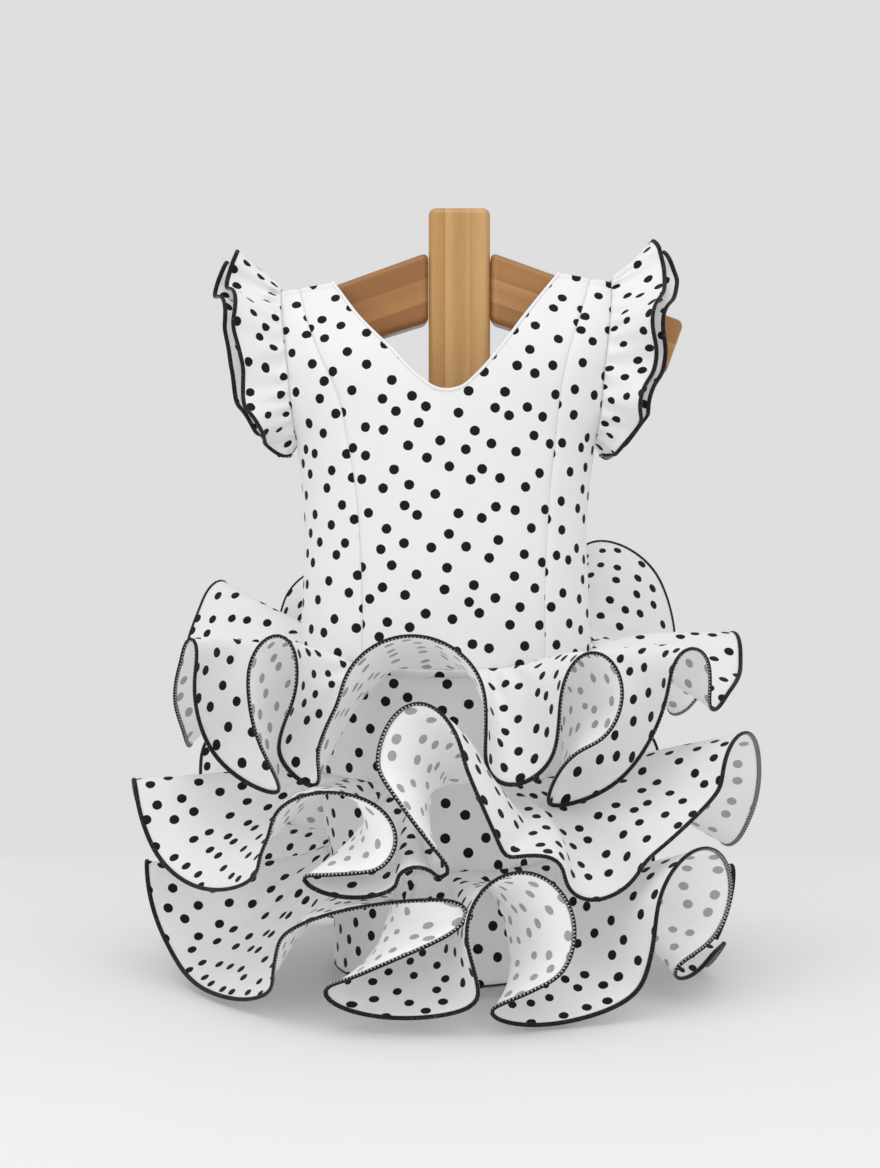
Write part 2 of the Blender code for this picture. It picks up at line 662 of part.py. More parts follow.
def ruffle_ends(tier, columns):
    """Seam point and edge point of each column of a tier. Every column is as long as the tier is deep."""
    radius = float(half_width(tier.seam_height)) + 0.75 * tier.depth
    arcs = [fold_arc(fold, radius) for fold in tier.folds]
    turn, height = resample_ring(
        np.concatenate([arc[0] for arc in arcs]), np.concatenate([arc[1] for arc in arcs]), radius, PATH_STEPS
    )
    turn = smooth_ring(turn, PATH_SMOOTHING, 360)
    height = smooth_ring(height, PATH_SMOOTHING)
    turn, height = resample_ring(turn, height, radius, PATH_STEPS)
    even = np.arange(PATH_STEPS) * 360 / PATH_STEPS
    even += np.mean(turn - even)
    slow = smooth_ring(turn[:: PATH_STEPS // 400], SEAM_SHARE_SMOOTHING, 360)
    slow = np.interp(np.arange(PATH_STEPS), np.arange(400) * (PATH_STEPS // 400), slow)
    seam_turn = (1 - SEAM_SHARE) * even + SEAM_SHARE * slow
    pick = np.arange(columns) * PATH_STEPS // columns
    turn, height, seam_turn = turn[pick], np.maximum(height[pick], LOWEST_EDGE), seam_turn[pick]
    seam = seam_ring(tier, seam_turn)
    facing = np.stack([np.sin(np.radians(turn)), -np.cos(np.radians(turn))], 1)
    toward = (facing * seam[:, :2]).sum(1)
    drop = height - seam[:, 2]
    room = toward**2 - (seam[:, :2] ** 2).sum(1) + tier.depth**2 - drop**2
    reach = toward + np.sqrt(np.maximum(room, NEAREST_EDGE**2))
    return seam, np.append(facing * reach[:, None], height[:, None], 1)


def tier_surface(tier, columns, rows):
    """Columns from seam to edge. They leave the seam square and swing sideways on the way out."""
    seam, edge = ruffle_ends(tier, columns)
    t = np.linspace(0, 1, rows + 1)[:, None]
    points = seam + (edge - seam) * t[..., None]
    swing = np.arctan2(edge[:, 0], -edge[:, 1]) - np.arctan2(seam[:, 0], -seam[:, 1])
    swing = (swing + math.pi) % (2 * math.pi) - math.pi
    late = swing * (t**2 - t) * SWING_LATE
    x, y = points[..., 0].copy(), points[..., 1].copy()
    points[..., 0] = x * np.cos(late) - y * np.sin(late)
    points[..., 1] = x * np.sin(late) + y * np.cos(late)
    points[..., 2] += 4 * t * (1 - t) * tier.bow
    return np.append(points, points[:, :1], axis=1)


def tier_piece(tier, collection):
    points = tier_surface(tier, TIER_COLUMNS, TIER_ROWS)
    cloth(tier.name, points, collection, ring=True, wall=RUFFLE_WALL, offset=0.0)


def skirt_panel(name, back, collection):
    """Half of the tube that the lower tiers are sewn to."""
    shares = np.sin(np.linspace(-math.pi / 2, math.pi / 2, SKIRT_COLUMNS))
    rows = []
    for v in np.linspace(0, 1, SKIRT_ROWS):
        x_hip = shares * half_width(TIER_1.seam_height)
        top = hip_height(x_hip, back) - HIP_LAP - SKIRT_TOP_GAP
        z = SKIRT_HEM + (top - SKIRT_HEM) * v
        rows.append(np.stack([shares * half_width(z), z], 1))
    patch = np.stack(rows)
    cloth(name, lifted(patch[:, ::-1] if back else patch, back), collection)


def wooden_block(name, corners, edge, collection):
    """A cube whose eight corners are moved to the given ones: (x, z) outline by front and back y."""
    bm = bmesh.new()
    bmesh.ops.create_cube(bm, size=2)
    for vertex in bm.verts:
        right, high, back = vertex.co.x > 0, vertex.co.z > 0, vertex.co.y > 0
        x, z = corners[(right, high)]
        vertex.co = (x, POST_THICKNESS / 2 * (1 if back else -1), z)
    bmesh.ops.recalc_face_normals(bm, faces=bm.faces)
    mesh = bpy.data.meshes.new(name)
    bm.to_mesh(mesh)
    bm.free()
    obj = new_object(name, mesh, PINE, collection)
    bevel = obj.modifiers.new("Rounded edges", "BEVEL")
    bevel.width = edge
    bevel.segments = WOOD_EDGE_SEGMENTS
    return obj


def stand(collection):
    """Base board, post and two sloping arms, in laminated pine."""
    left, right = POST_X - POST_WIDTH / 2, POST_X + POST_WIDTH / 2
    foot = BASE_THICKNESS + SEAM_GAP
    corners = {
        (False, False): (left, foot),
        (True, False): (right, foot),
        (False, True): (left, POST_TOP),
        (True, True): (right, POST_TOP),
    }
    wooden_block("stand_post", corners, POST_CORNER, collection)
    run = math.cos(math.atan(ARM_SLOPE))
    drop = math.sin(math.atan(ARM_SLOPE))
    for side, name in ((-1, "stand_arm_left"), (1, "stand_arm_right")):
        root_x = POST_X + side * (POST_WIDTH / 2 + SEAM_GAP)
        end_x = POST_X + side * ARM_REACH
        root_top, end_top = float(arm_top(root_x)), float(arm_top(end_x))
        outer = side > 0
        corners = {
            (not outer, True): (root_x, root_top),
            (not outer, False): (root_x, root_top - ARM_ROOT_HEIGHT),
            (outer, True): (end_x, end_top),
            (outer, False): (end_x - side * ARM_END_HEIGHT * drop, end_top - ARM_END_HEIGHT * run),
        }
        wooden_block(name, corners, WOOD_EDGE, collection)
    bm = bmesh.new()
    bmesh.ops.create_cube(bm, size=1)
    bmesh.ops.scale(bm, vec=(BASE_WIDTH, BASE_DEPTH, BASE_THICKNESS), verts=bm.verts)
    bmesh.ops.translate(bm, vec=(POST_X, 0, BASE_THICKNESS / 2), verts=bm.verts)
    mesh = bpy.data.meshes.new("stand_base")
    bm.to_mesh(mesh)
    bm.free()
    base = new_object("stand_base", mesh, PINE, collection)
    bevel = base.modifiers.new("Rounded edges", "BEVEL")
    bevel.width = BASE_EDGE
    bevel.segments = WOOD_EDGE_SEGMENTS


def build():
    clear_scene()
    collection = bpy.data.collections.new(COLLECTION)
    bpy.context.scene.collection.children.link(collection)
    stand(collection)
    front_centre(collection)
    front_side("front_side_left", -1, collection)
    front_side("front_side_right", 1, collection)
    back_panel("back_left", -1, collection)
    back_panel("back_right", 1, collection)
    neck_piping(collection)
    skirt_panel("skirt_front", False, collection)
    skirt_panel("skirt_back", True, collection)
    for side, word in ((-1, "left"), (1, "right")):
        sleeve_layer(f"sleeve_under_ruffle_{word}", side, 1.0, 0.0, collection)
        sleeve_layer(f"sleeve_top_ruffle_{word}", side, SHORT_LAYER_SHARE, SHORT_LAYER_AWAY, collection)
    for tier in TIERS:
        tier_piece(tier, collection)


build()
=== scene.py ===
"""A small child's flamenco dress on its wooden stand, with cloth, dots, ruffles and edges in full.

Units are metres, +Z is up and the front of the dress faces -Y. Left and right are the
viewer's. The body of the dress is one form; the panels, ruffles and tiers are cut from it
by classes of their own, and each sheet carries a flat map of its cloth for the dots.
"""

import logging
import math
from dataclasses import dataclass
from enum import Enum
from typing import Any, Callable, Iterable, NamedTuple, Optional, Sequence, Union

import bmesh
import bpy
import numpy as np
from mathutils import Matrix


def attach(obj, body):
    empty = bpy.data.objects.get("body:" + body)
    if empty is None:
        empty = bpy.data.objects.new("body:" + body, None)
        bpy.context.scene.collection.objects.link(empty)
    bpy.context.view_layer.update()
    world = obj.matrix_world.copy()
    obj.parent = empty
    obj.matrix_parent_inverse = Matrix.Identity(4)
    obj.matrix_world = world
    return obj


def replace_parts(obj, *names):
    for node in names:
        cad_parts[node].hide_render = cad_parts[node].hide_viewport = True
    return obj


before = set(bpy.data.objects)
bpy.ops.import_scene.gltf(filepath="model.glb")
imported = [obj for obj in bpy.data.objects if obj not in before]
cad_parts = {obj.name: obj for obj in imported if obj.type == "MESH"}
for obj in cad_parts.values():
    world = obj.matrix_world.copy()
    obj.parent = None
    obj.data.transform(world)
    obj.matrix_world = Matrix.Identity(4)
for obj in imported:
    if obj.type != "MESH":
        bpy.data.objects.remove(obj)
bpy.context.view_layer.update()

LOG = logging.getLogger("flamenco_dress")
Number = Union[int, float]
RGB = tuple[float, float, float]


# Curves and paths


def hermite(xs: Sequence[float], ys: Sequence[float], at: Any) -> np.ndarray:
    """Reads a smooth curve through points.

    Args:
        xs: rising places of the points.
        ys: values at the points.
        at: places to read the curve at.

    Returns:
        The values at those places.
    """
    xs, ys, at = np.asarray(xs, float), np.asarray(ys, float), np.asarray(at, float)
    slopes = np.gradient(ys, xs)
    i = np.clip(np.searchsorted(xs, at) - 1, 0, len(xs) - 2)
    step = xs[i + 1] - xs[i]
    t = np.clip((at - xs[i]) / step, 0, 1)
    return (
        (2 * t**3 - 3 * t**2 + 1) * ys[i]
        + (t**3 - 2 * t**2 + t) * step * slopes[i]
        + (3 * t**2 - 2 * t**3) * ys[i + 1]
        + (t**3 - t**2) * step * slopes[i + 1]
    )


def smoothstep(low: float, high: float, at: Any) -> np.ndarray:
    """A soft step from 0 at low to 1 at high."""
    t = np.clip((np.asarray(at, float) - low) / (high - low), 0, 1)
    return t * t * (3 - 2 * t)


def unit(vectors: np.ndarray) -> np.ndarray:
    """The vectors scaled to length one."""
    return vectors / np.maximum(np.linalg.norm(vectors, axis=-1, keepdims=True), 1e-12)


def path_lengths(path: np.ndarray) -> np.ndarray:
    """The distance along a path at each of its points."""
    return np.concatenate([[0], np.cumsum(np.linalg.norm(np.diff(path, axis=0), axis=1))])


def resample(points: Any, shares: Any) -> np.ndarray:
    """The path's points at shares of its length."""
    points = np.asarray(points, float)
    along = path_lengths(points)
    at = np.asarray(shares) * along[-1]
    return np.stack([np.interp(at, along, points[:, k]) for k in range(points.shape[1])], 1)


def smooth_path(rows: Any, count: int) -> np.ndarray:
    """A curve of count points through (x, height) rows."""
    rows = np.asarray(rows, float)
    along = path_lengths(rows)
    at = np.linspace(0, along[-1], count)
    return np.stack([hermite(along, rows[:, 0], at), hermite(along, rows[:, 1], at)], 1)


def coons(
    bottom: np.ndarray,
    top: np.ndarray,
    left: np.ndarray,
    right: np.ndarray,
    across: np.ndarray,
    up: np.ndarray,
) -> np.ndarray:
    """A patch of (x, height) points between four border paths, at shares across and up."""
    b, t = resample(bottom, across), resample(top, across)
    l, r = resample(left, up), resample(right, up)
    l[0], l[-1], r[0], r[-1] = b[0], t[0], b[-1], t[-1]
    u, v = np.asarray(across)[None, :, None], np.asarray(up)[:, None, None]
    ruled = (1 - v) * b[None] + v * t[None] + (1 - u) * l[:, None] + u * r[:, None]
    corners = (1 - u) * (1 - v) * b[0] + u * (1 - v) * b[-1] + (1 - u) * v * t[0] + u * v * t[-1]
    return ruled - corners


def smooth_ring(values: np.ndarray, passes: int, turn: float = 0.0) -> np.ndarray:
    """Averages each value with its neighbours; the last is followed by the first plus a full turn."""
    for _ in range(passes):
        before, after = np.roll(values, 1), np.roll(values, -1)
        before[0] -= turn
        after[-1] += turn
        values = (before + 2 * values + after) / 4
    return values


def resample_ring(
    turn: np.ndarray, height: np.ndarray, radius: float, count: int
) -> tuple[np.ndarray, np.ndarray]:
    """Points spread evenly along a closed (turn, height) path."""
    turn, height = np.append(turn, turn[0] + 360), np.append(height, height[0])
    along = path_lengths(np.stack([np.radians(turn) * radius, height], 1))
    at = np.linspace(0, along[-1], count, endpoint=False)
    return np.interp(at, along, turn), np.interp(at, along, height)


def grid_normals(points: np.ndarray, ring: bool = False) -> np.ndarray:
    """Unit normals of a grid of points, on the side its faces point to.

    Args:
        points: rows by columns by 3.
        ring: whether the last column lies on the first.

    Returns:
        An array of the same shape.
    """
    if ring:
        wide = np.concatenate([points[:, -2:-1], points, points[:, 1:2]], axis=1)
        along = (wide[:, 2:] - wide[:, :-2]) / 2
    else:
        along = np.gradient(points, axis=1)
    return unit(np.cross(along, np.gradient(points, axis=0)))


def sheet_area(points: np.ndarray) -> float:
    """The area of a grid of points in square metres."""
    a, b, c, d = points[:-1, :-1], points[:-1, 1:], points[1:, 1:], points[1:, :-1]
    first = np.linalg.norm(np.cross(b - a, c - a), axis=-1)
    second = np.linalg.norm(np.cross(c - a, d - a), axis=-1)
    return float((first + second).sum() / 2)


# Shader maths


class Value:
    """A shader socket that Python operators turn into Math nodes."""

    def __init__(self, tree: "Shader", socket: bpy.types.NodeSocket) -> None:
        """Wraps one output socket of a shader."""
        self.tree = tree
        self.socket = socket

    def __add__(self, other: "Scalar") -> "Value":
        """The sum."""
        return self.tree.maths("ADD", self, other)

    __radd__ = __add__

    def __sub__(self, other: "Scalar") -> "Value":
        """The difference."""
        return self.tree.maths("SUBTRACT", self, other)

    def __rsub__(self, other: "Scalar") -> "Value":
        """The difference the other way round."""
        return self.tree.maths("SUBTRACT", other, self)

    def __mul__(self, other: "Scalar") -> "Value":
        """The product."""
        return self.tree.maths("MULTIPLY", self, other)

    __rmul__ = __mul__

    def __truediv__(self, other: "Scalar") -> "Value":
        """The quotient."""
        return self.tree.maths("DIVIDE", self, other)

    def __lt__(self, other: "Scalar") -> "Value":
        """One where this is less, else zero."""
        return self.tree.maths("LESS_THAN", self, other)

    def __gt__(self, other: "Scalar") -> "Value":
        """One where this is greater, else zero."""
        return self.tree.maths("GREATER_THAN", self, other)

    def call(self, operation: str, *others: "Scalar") -> "Value":
        """Any other Math operation on this value."""
        return self.tree.maths(operation, self, *others)

    def clamped(self) -> "Value":
        """The value kept between 0 and 1."""
        return self.call("MAXIMUM", 0.0).call("MINIMUM", 1.0)


Scalar = Union[Value, Number]


class Shader:
    """One material's node tree, with a Principled shader at its end."""

    def __init__(self, name: str) -> None:
        """Starts a material with a bare Principled shader."""
        self.material = bpy.data.materials.new(name)
        self.material.use_nodes = True
        self.nodes = self.material.node_tree.nodes
        self.links = self.material.node_tree.links
        self.principled = self.nodes["Principled BSDF"]

    def node(
        self, kind: str, settings: Optional[dict[str, Any]] = None, inputs: Optional[dict[Any, Any]] = None
    ) -> bpy.types.Node:
        """Adds any node.

        Args:
            kind: the node's type.
            settings: properties that are set first.
            inputs: values or links of its sockets, by name or number.

        Returns:
            The new node.
        """
        node = self.nodes.new(kind)
        for name, value in (settings or {}).items():
            setattr(node, name, value)
        for name, value in (inputs or {}).items():
            self.feed(node.inputs[name], value)
        return node

    def feed(self, socket: bpy.types.NodeSocket, value: Any) -> None:
        """Links a value to a socket, or sets it there."""
        if isinstance(value, Value):
            self.links.new(value.socket, socket)
        elif isinstance(value, bpy.types.NodeSocket):
            self.links.new(value, socket)
        else:
            socket.default_value = value

    def value(self, node: bpy.types.Node, output: Any = 0) -> Value:
        """One output of a node as a value for Python maths."""
        return Value(self, node.outputs[output])

    def maths(self, operation: str, *terms: Scalar) -> Value:
        """One Math node on numbers and values."""
        node = self.node("ShaderNodeMath", {"operation": operation}, dict(enumerate(terms)))
        return self.value(node)

    def mix(self, factor: Scalar, first: Any, second: Any) -> bpy.types.NodeSocket:
        """A mix of two colours, each an RGB triple or a socket."""
        first, second = [(*c, 1.0) if isinstance(c, tuple) else c for c in (first, second)]
        node = self.node("ShaderNodeMix", {"data_type": "RGBA"}, {0: factor, 6: first, 7: second})
        return node.outputs[2]

    def noise(self, where: Any, scale: float, detail: float = 2.0, dimensions: str = "3D") -> Value:
        """Soft noise from 0 to 1 at so many waves per metre."""
        inputs = {"Vector": where, "Scale": scale, "Detail": detail}
        return self.value(self.node("ShaderNodeTexNoise", {"noise_dimensions": dimensions}, inputs))

    def object_place(self) -> bpy.types.NodeSocket:
        """The place on the piece in metres."""
        return self.node("ShaderNodeTexCoord").outputs["Object"]

    def cloth_place(self) -> bpy.types.NodeSocket:
        """The place on the flat cloth in metres."""
        return self.node("ShaderNodeUVMap", {"uv_map": CLOTH_MAP}).outputs["UV"]

    def parts(self, where: bpy.types.NodeSocket) -> tuple[Value, Value, Value]:
        """The three numbers of a place."""
        split = self.node("ShaderNodeSeparateXYZ", None, {0: where})
        return self.value(split, 0), self.value(split, 1), self.value(split, 2)

    def relief(self, height: Value, distance: float, strength: float = 1.0) -> None:
        """Feeds the shader's normal with a height between 0 and 1, distance metres deep."""
        inputs = {"Height": height, "Distance": distance, "Strength": strength}
        bump = self.node("ShaderNodeBump", None, inputs)
        self.feed(self.principled.inputs["Normal"], bump.outputs["Normal"])

    def finish(self, **inputs: Any) -> bpy.types.Material:
        """Sets the shader's own sockets, named with underscores for blanks, and gives the material."""
        for name, value in inputs.items():
            self.feed(self.principled.inputs[name.replace("_", " ")], value)
        return self.material


CLOTH_MAP = "cloth"
Shift = tuple[float, float]


def shade(colour: RGB, share: float) -> RGB:
    """The colour made darker or brighter by a share."""
    return tuple(share * part for part in colour)


def side_word(side: int) -> str:
    """Left or right as a word."""
    return "left" if side < 0 else "right"


class ClothSide(Enum):
    """The two sides of the printed cloth."""

    RIGHT = "right_side"
    WRONG = "wrong_side"


@dataclass(frozen=True)
class DottedCotton:
    """White cotton printed with scattered black dots, which show through as grey at the back."""

    cell: float = 0.0196
    dot_radius: float = 0.00385
    scatter: float = 0.5
    edge: float = 0.00022
    white: RGB = (0.75, 0.75, 0.757)
    black: RGB = (0.0030, 0.0030, 0.0040)
    # Painted light: the wrong side's ground is painted brighter than the right side's white, standing for
    # light through the cloth in shaded folds.
    wrong_white_painted_brighter: RGB = (0.83, 0.83, 0.84)
    ghost: RGB = (0.30, 0.30, 0.31)
    turn: float = 0.55
    # Painted light: each side glows in its own colour by this strength, lifting the shade in the folds like
    # light through the thin cloth.
    right_painted_glow: float = 0.11
    wrong_painted_glow: float = 0.18
    ragged_waves: float = 420.0
    ragged_shift: float = 0.0006
    tone_waves: float = 34.0
    fibre_waves: float = 1500.0
    slub_waves: float = 260.0
    relief_depth: float = 0.00012

    def material(self, name: str, side: ClothSide, shift: Shift = (0.0, 0.0)) -> bpy.types.Material:
        """Makes one side of the cloth.

        Args:
            name: the material's name.
            side: the right or the wrong side.
            shift: moves the print under this piece, in metres.

        Returns:
            The material, on the piece's cloth map.
        """
        shader = Shader(name)
        place = shader.cloth_place()
        ragged = shader.node(
            "ShaderNodeTexNoise",
            {"noise_dimensions": "2D"},
            {"Vector": place, "Scale": self.ragged_waves, "Detail": 2.0},
        )
        nudge = shader.node(
            "ShaderNodeVectorMath",
            {"operation": "MULTIPLY_ADD"},
            {0: ragged.outputs["Color"], 1: (self.ragged_shift, self.ragged_shift, 0.0), 2: place},
        )
        turned = shader.node(
            "ShaderNodeMapping",
            {"vector_type": "POINT"},
            {"Vector": nudge.outputs[0], "Location": (*shift, 0.0), "Rotation": (0.0, 0.0, self.turn)},
        )
        cells = shader.node(
            "ShaderNodeTexVoronoi",
            {"voronoi_dimensions": "2D", "feature": "F1", "distance": "EUCLIDEAN"},
            {"Vector": turned.outputs[0], "Scale": 1 / self.cell, "Randomness": self.scatter},
        )
        distance = shader.value(cells, "Distance") * self.cell
        dot = ((self.dot_radius - distance) / self.edge + 0.5).clamped()
        tone = shader.noise(place, self.tone_waves, 3.0, "2D")
        fibre = shader.noise(place, self.fibre_waves, 2.0, "2D")
        slub = shader.noise(place, self.slub_waves, 3.0, "2D")
        light = (tone * 1.4 - 0.2).clamped()
        if side is ClothSide.RIGHT:
            ground = shader.mix(light, shade(self.white, 0.965), self.white)
            ink = shader.mix(fibre, self.black, shade(self.black, 3.0))
        else:
            # Painted light: this ground is brighter than the right side's white.
            ground = shader.mix(light, shade(self.wrong_white_painted_brighter, 0.955), self.wrong_white_painted_brighter)
            ink = shader.mix(fibre, shade(self.ghost, 0.8), shade(self.ghost, 1.2))
            dot = dot * 0.92
        colour = shader.mix(dot, ground, ink)
        shader.relief(fibre * 0.7 + slub * 0.6, self.relief_depth, 0.55)
        return shader.finish(
            Base_Color=colour,
            Roughness=0.82 - 0.10 * dot,
            Sheen_Weight=0.03,
            Sheen_Roughness=0.5,
            Specular_IOR_Level=0.16,
            # Painted light: the cloth glows in its own colour, a steady lift of its shade.
            Emission_Color=colour,
            Emission_Strength=self.right_painted_glow if side is ClothSide.RIGHT else self.wrong_painted_glow,
        )


@dataclass(frozen=True)
class WhiteBinding:
    """Plain white bias binding with a fine weave along it."""

    colour: RGB = (0.86, 0.86, 0.86)

    def material(self, name: str) -> bpy.types.Material:
        """Makes the binding's cloth."""
        shader = Shader(name)
        place = shader.object_place()
        weave = shader.noise(place, 900.0)
        tone = shader.noise(place, 60.0)
        colour = shader.mix(tone, shade(self.colour, 0.94), self.colour)
        shader.relief(weave, 0.00012, 0.5)
        return shader.finish(Base_Color=colour, Roughness=0.72 + 0.1 * weave, Specular_IOR_Level=0.3)


@dataclass(frozen=True)
class OverlockThread:
    """Overlock stitches in black thread, whose wrong side shows white loops zigzagging over it."""

    pitch: float = 0.0027
    black: RGB = (0.0045, 0.0045, 0.0060)
    white: RGB = (0.62, 0.62, 0.63)
    fleck: RGB = (0.20, 0.20, 0.21)

    def material(self, name: str) -> bpy.types.Material:
        """Makes the thread.

        The cloth map runs along the edge in metres and once round it, right side first.
        """
        shader = Shader(name)
        along, around, _ = shader.parts(shader.cloth_place())
        step = (along / self.pitch).call("FRACT")
        lean = ((along / self.pitch + around * 1.7).call("FRACT") - 0.5).call("ABSOLUTE") * 2.0
        zigzag = ((step - 0.5).call("ABSOLUTE") * 2.0 * 0.34 + 0.58 - around).call("ABSOLUTE")
        wrong_side = (around > 0.54) * (around < 0.96)
        loop = ((0.080 - zigzag) / 0.03).clamped() * wrong_side
        wisp = shader.noise(shader.object_place(), 700.0)
        fleck = ((wisp - 0.60) * 9.0).clamped() * 0.45
        ink = shader.mix(fleck, shade(self.black, 1.6), self.fleck)
        colour = shader.mix(loop, ink, self.white)
        shader.relief(lean * 0.8 + loop * 0.8, 0.0004, 0.9)
        return shader.finish(Base_Color=colour, Roughness=0.50 + 0.25 * lean, Specular_IOR_Level=0.22)


@dataclass(frozen=True)
class LaminatedPine:
    """Varnished strips of pine glued side by side."""

    seams: tuple[float, ...]
    tones: tuple[RGB, ...]
    slope: float = 0.0
    along_x: bool = False
    seed: float = 0.0
    ring_scale: float = 150.0
    half_glue_line: float = 0.00035
    dark_grain: RGB = (0.27, 0.125, 0.042)
    glue_tone: RGB = (0.20, 0.09, 0.03)

    def material(self, name: str) -> bpy.types.Material:
        """Makes the wood.

        The strips change at the seams, which are places across the grain in metres. On an
        arm the grain runs along X and falls with the slope.
        """
        shader = Shader(name)
        place = shader.object_place()
        x, y, z = shader.parts(place)
        across = z + self.slope * x if self.along_x else x
        length = x if self.along_x else z
        colour: Any = self.tones[0]
        glue: Scalar = 0.0
        strip: Scalar = 0.0
        for seam, tone in zip(self.seams, self.tones[1:]):
            past = across > seam
            colour = shader.mix(past, colour, tone)
            line = 1.0 - ((across - seam).call("ABSOLUTE") / self.half_glue_line).clamped()
            glue = line + glue
            strip = past + strip
        stretched = {0: across, 1: y + strip * 0.31 + self.seed, 2: length * 0.07}
        warp = shader.node("ShaderNodeCombineXYZ", None, stretched)
        wander = shader.noise(warp.outputs[0], 26.0, 3.0)
        rings = across + y * 0.35 + strip * 0.013 + wander * 0.020
        rings = (rings * self.ring_scale * 2.0).call("SINE") * 0.5 + 0.5
        stretched = {0: across * 9.0, 1: y * 9.0 + self.seed, 2: length * 0.35}
        fine = shader.node("ShaderNodeCombineXYZ", None, stretched)
        pores = shader.noise(fine.outputs[0], 130.0, 4.0)
        broad = shader.noise(place, 14.0, 2.0)
        dark = ((rings * 0.55 + pores * 0.55 + broad * 0.25 - 0.25) * 0.62).clamped()
        grain = shader.mix(dark, colour, self.dark_grain)
        wood = shader.mix((glue * 0.45).clamped(), grain, self.glue_tone)
        shader.relief(pores * 0.6 + rings * 0.2 - glue * 0.5, 0.00012, 0.35)
        return shader.finish(
            Base_Color=wood,
            Roughness=0.30 + 0.16 * pores,
            Coat_Weight=0.28,
            Coat_Roughness=0.14,
            Specular_IOR_Level=0.32,
        )


# Making meshes


def link(obj: bpy.types.Object, riding: bool = True) -> bpy.types.Object:
    """Puts an object in the scene, and on the frame unless it is part of the studio."""
    bpy.context.scene.collection.objects.link(obj)
    if riding:
        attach(obj, "root")
    return obj


def grid_object(
    name: str,
    points: np.ndarray,
    cloth_map: np.ndarray,
    materials: Sequence[bpy.types.Material],
    ring: bool = False,
    tube: bool = False,
) -> bpy.types.Object:
    """Moves a grid primitive onto a table of places and gives it its flat map.

    Args:
        name: the piece's name.
        points: rows by columns by 3 places; a ring's last column lies on its first.
        cloth_map: rows by columns by 2 places on the flat cloth.
        materials: its materials, in slot order.
        ring: whether the columns close on themselves.
        tube: whether the rows close on themselves too.

    Returns:
        The new piece, riding on the frame.
    """
    rows, columns = points.shape[:2]
    bm = bmesh.new()
    bmesh.ops.create_grid(bm, x_segments=columns - 1, y_segments=rows - 1, size=1)
    flat = bm.loops.layers.uv.new(CLOTH_MAP)
    places = {}
    for vertex in bm.verts:
        c = round((vertex.co.x + 1) / 2 * (columns - 1))
        r = round((vertex.co.y + 1) / 2 * (rows - 1))
        places[vertex.index] = (r, c)
    for face in bm.faces:
        face.smooth = True
        for loop in face.loops:
            loop[flat].uv = cloth_map[places[loop.vert.index]]
    for vertex in bm.verts:
        vertex.co = points[places[vertex.index]]
    if ring or tube:
        bmesh.ops.remove_doubles(bm, verts=bm.verts, dist=1e-6)
    if tube and not ring:
        bmesh.ops.holes_fill(bm, edges=bm.edges, sides=0)
    mesh = bpy.data.meshes.new(name)
    bm.to_mesh(mesh)
    bm.free()
    for material in materials:
        mesh.materials.append(material)
    return link(bpy.data.objects.new(name, mesh))


def sheet_piece(
    obj: bpy.types.Object,
    node: str,
    points: np.ndarray,
    flat: tuple[float, float],
) -> None:
    """Puts a cloth piece in its solid's place.

    Args:
        obj: the cloth.
        node: the solid that it replaces.
        points: its grid, whose area counts up to that of the flat size.
        flat: the width and length of its flat cut.
    """
    area = min(sheet_area(points), flat[0] * flat[1])
    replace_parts(obj, node)


def walled(obj: bpy.types.Object, wall: float, offset: float) -> bpy.types.Object:
    """Gives a sheet its thickness, with the second material on its wrong side."""
    thickness = obj.modifiers.new("Cloth thickness", "SOLIDIFY")
    thickness.thickness = wall
    thickness.offset = offset
    thickness.material_offset = 1
    thickness.material_offset_rim = 0
    thickness.use_even_offset = False
    return obj


def tube_along(
    path: np.ndarray, side: np.ndarray, up: np.ndarray, half_width: Any, half_height: Any, around: int
) -> tuple[np.ndarray, np.ndarray]:
    """Places of an oval tube round a closed path.

    Args:
        path: points of the path, the last on the first.
        side: unit vectors along the oval's width at each point.
        up: unit vectors along its height.
        half_width: the oval's half width.
        half_height: its half height.
        around: the number of points round it.

    Returns:
        The grid of places and its flat map: metres along, and one turn round from the right side.
    """
    angle = np.linspace(0, 2 * math.pi, around + 1)[:, None, None]
    points = path[None] + np.cos(angle) * side[None] * half_width + np.sin(angle) * up[None] * half_height
    points[-1] = points[0]
    along = path_lengths(path)
    flat = np.zeros((*points.shape[:2], 2))
    flat[..., 0] = along[None]
    flat[..., 1] = angle[..., 0] / (2 * math.pi)
    return points, flat


# The body of the dress and the stand's line


class DepthRow(NamedTuple):
    """How far the cloth lies from the middle plane, at a distance below the shoulder line."""

    below: float
    front: float
    back: float


class SideRow(NamedTuple):
    """Half width of the body at a height: side seam, or armhole edge above the underarm."""

    height: float
    half_width: float


class SeamRow(NamedTuple):
    """Places of the two front seams at a height."""

    height: float
    left: float
    right: float


def column(rows: Iterable[Any], name: str) -> list[float]:
    """One named column of a table."""
    return [getattr(row, name) for row in rows]


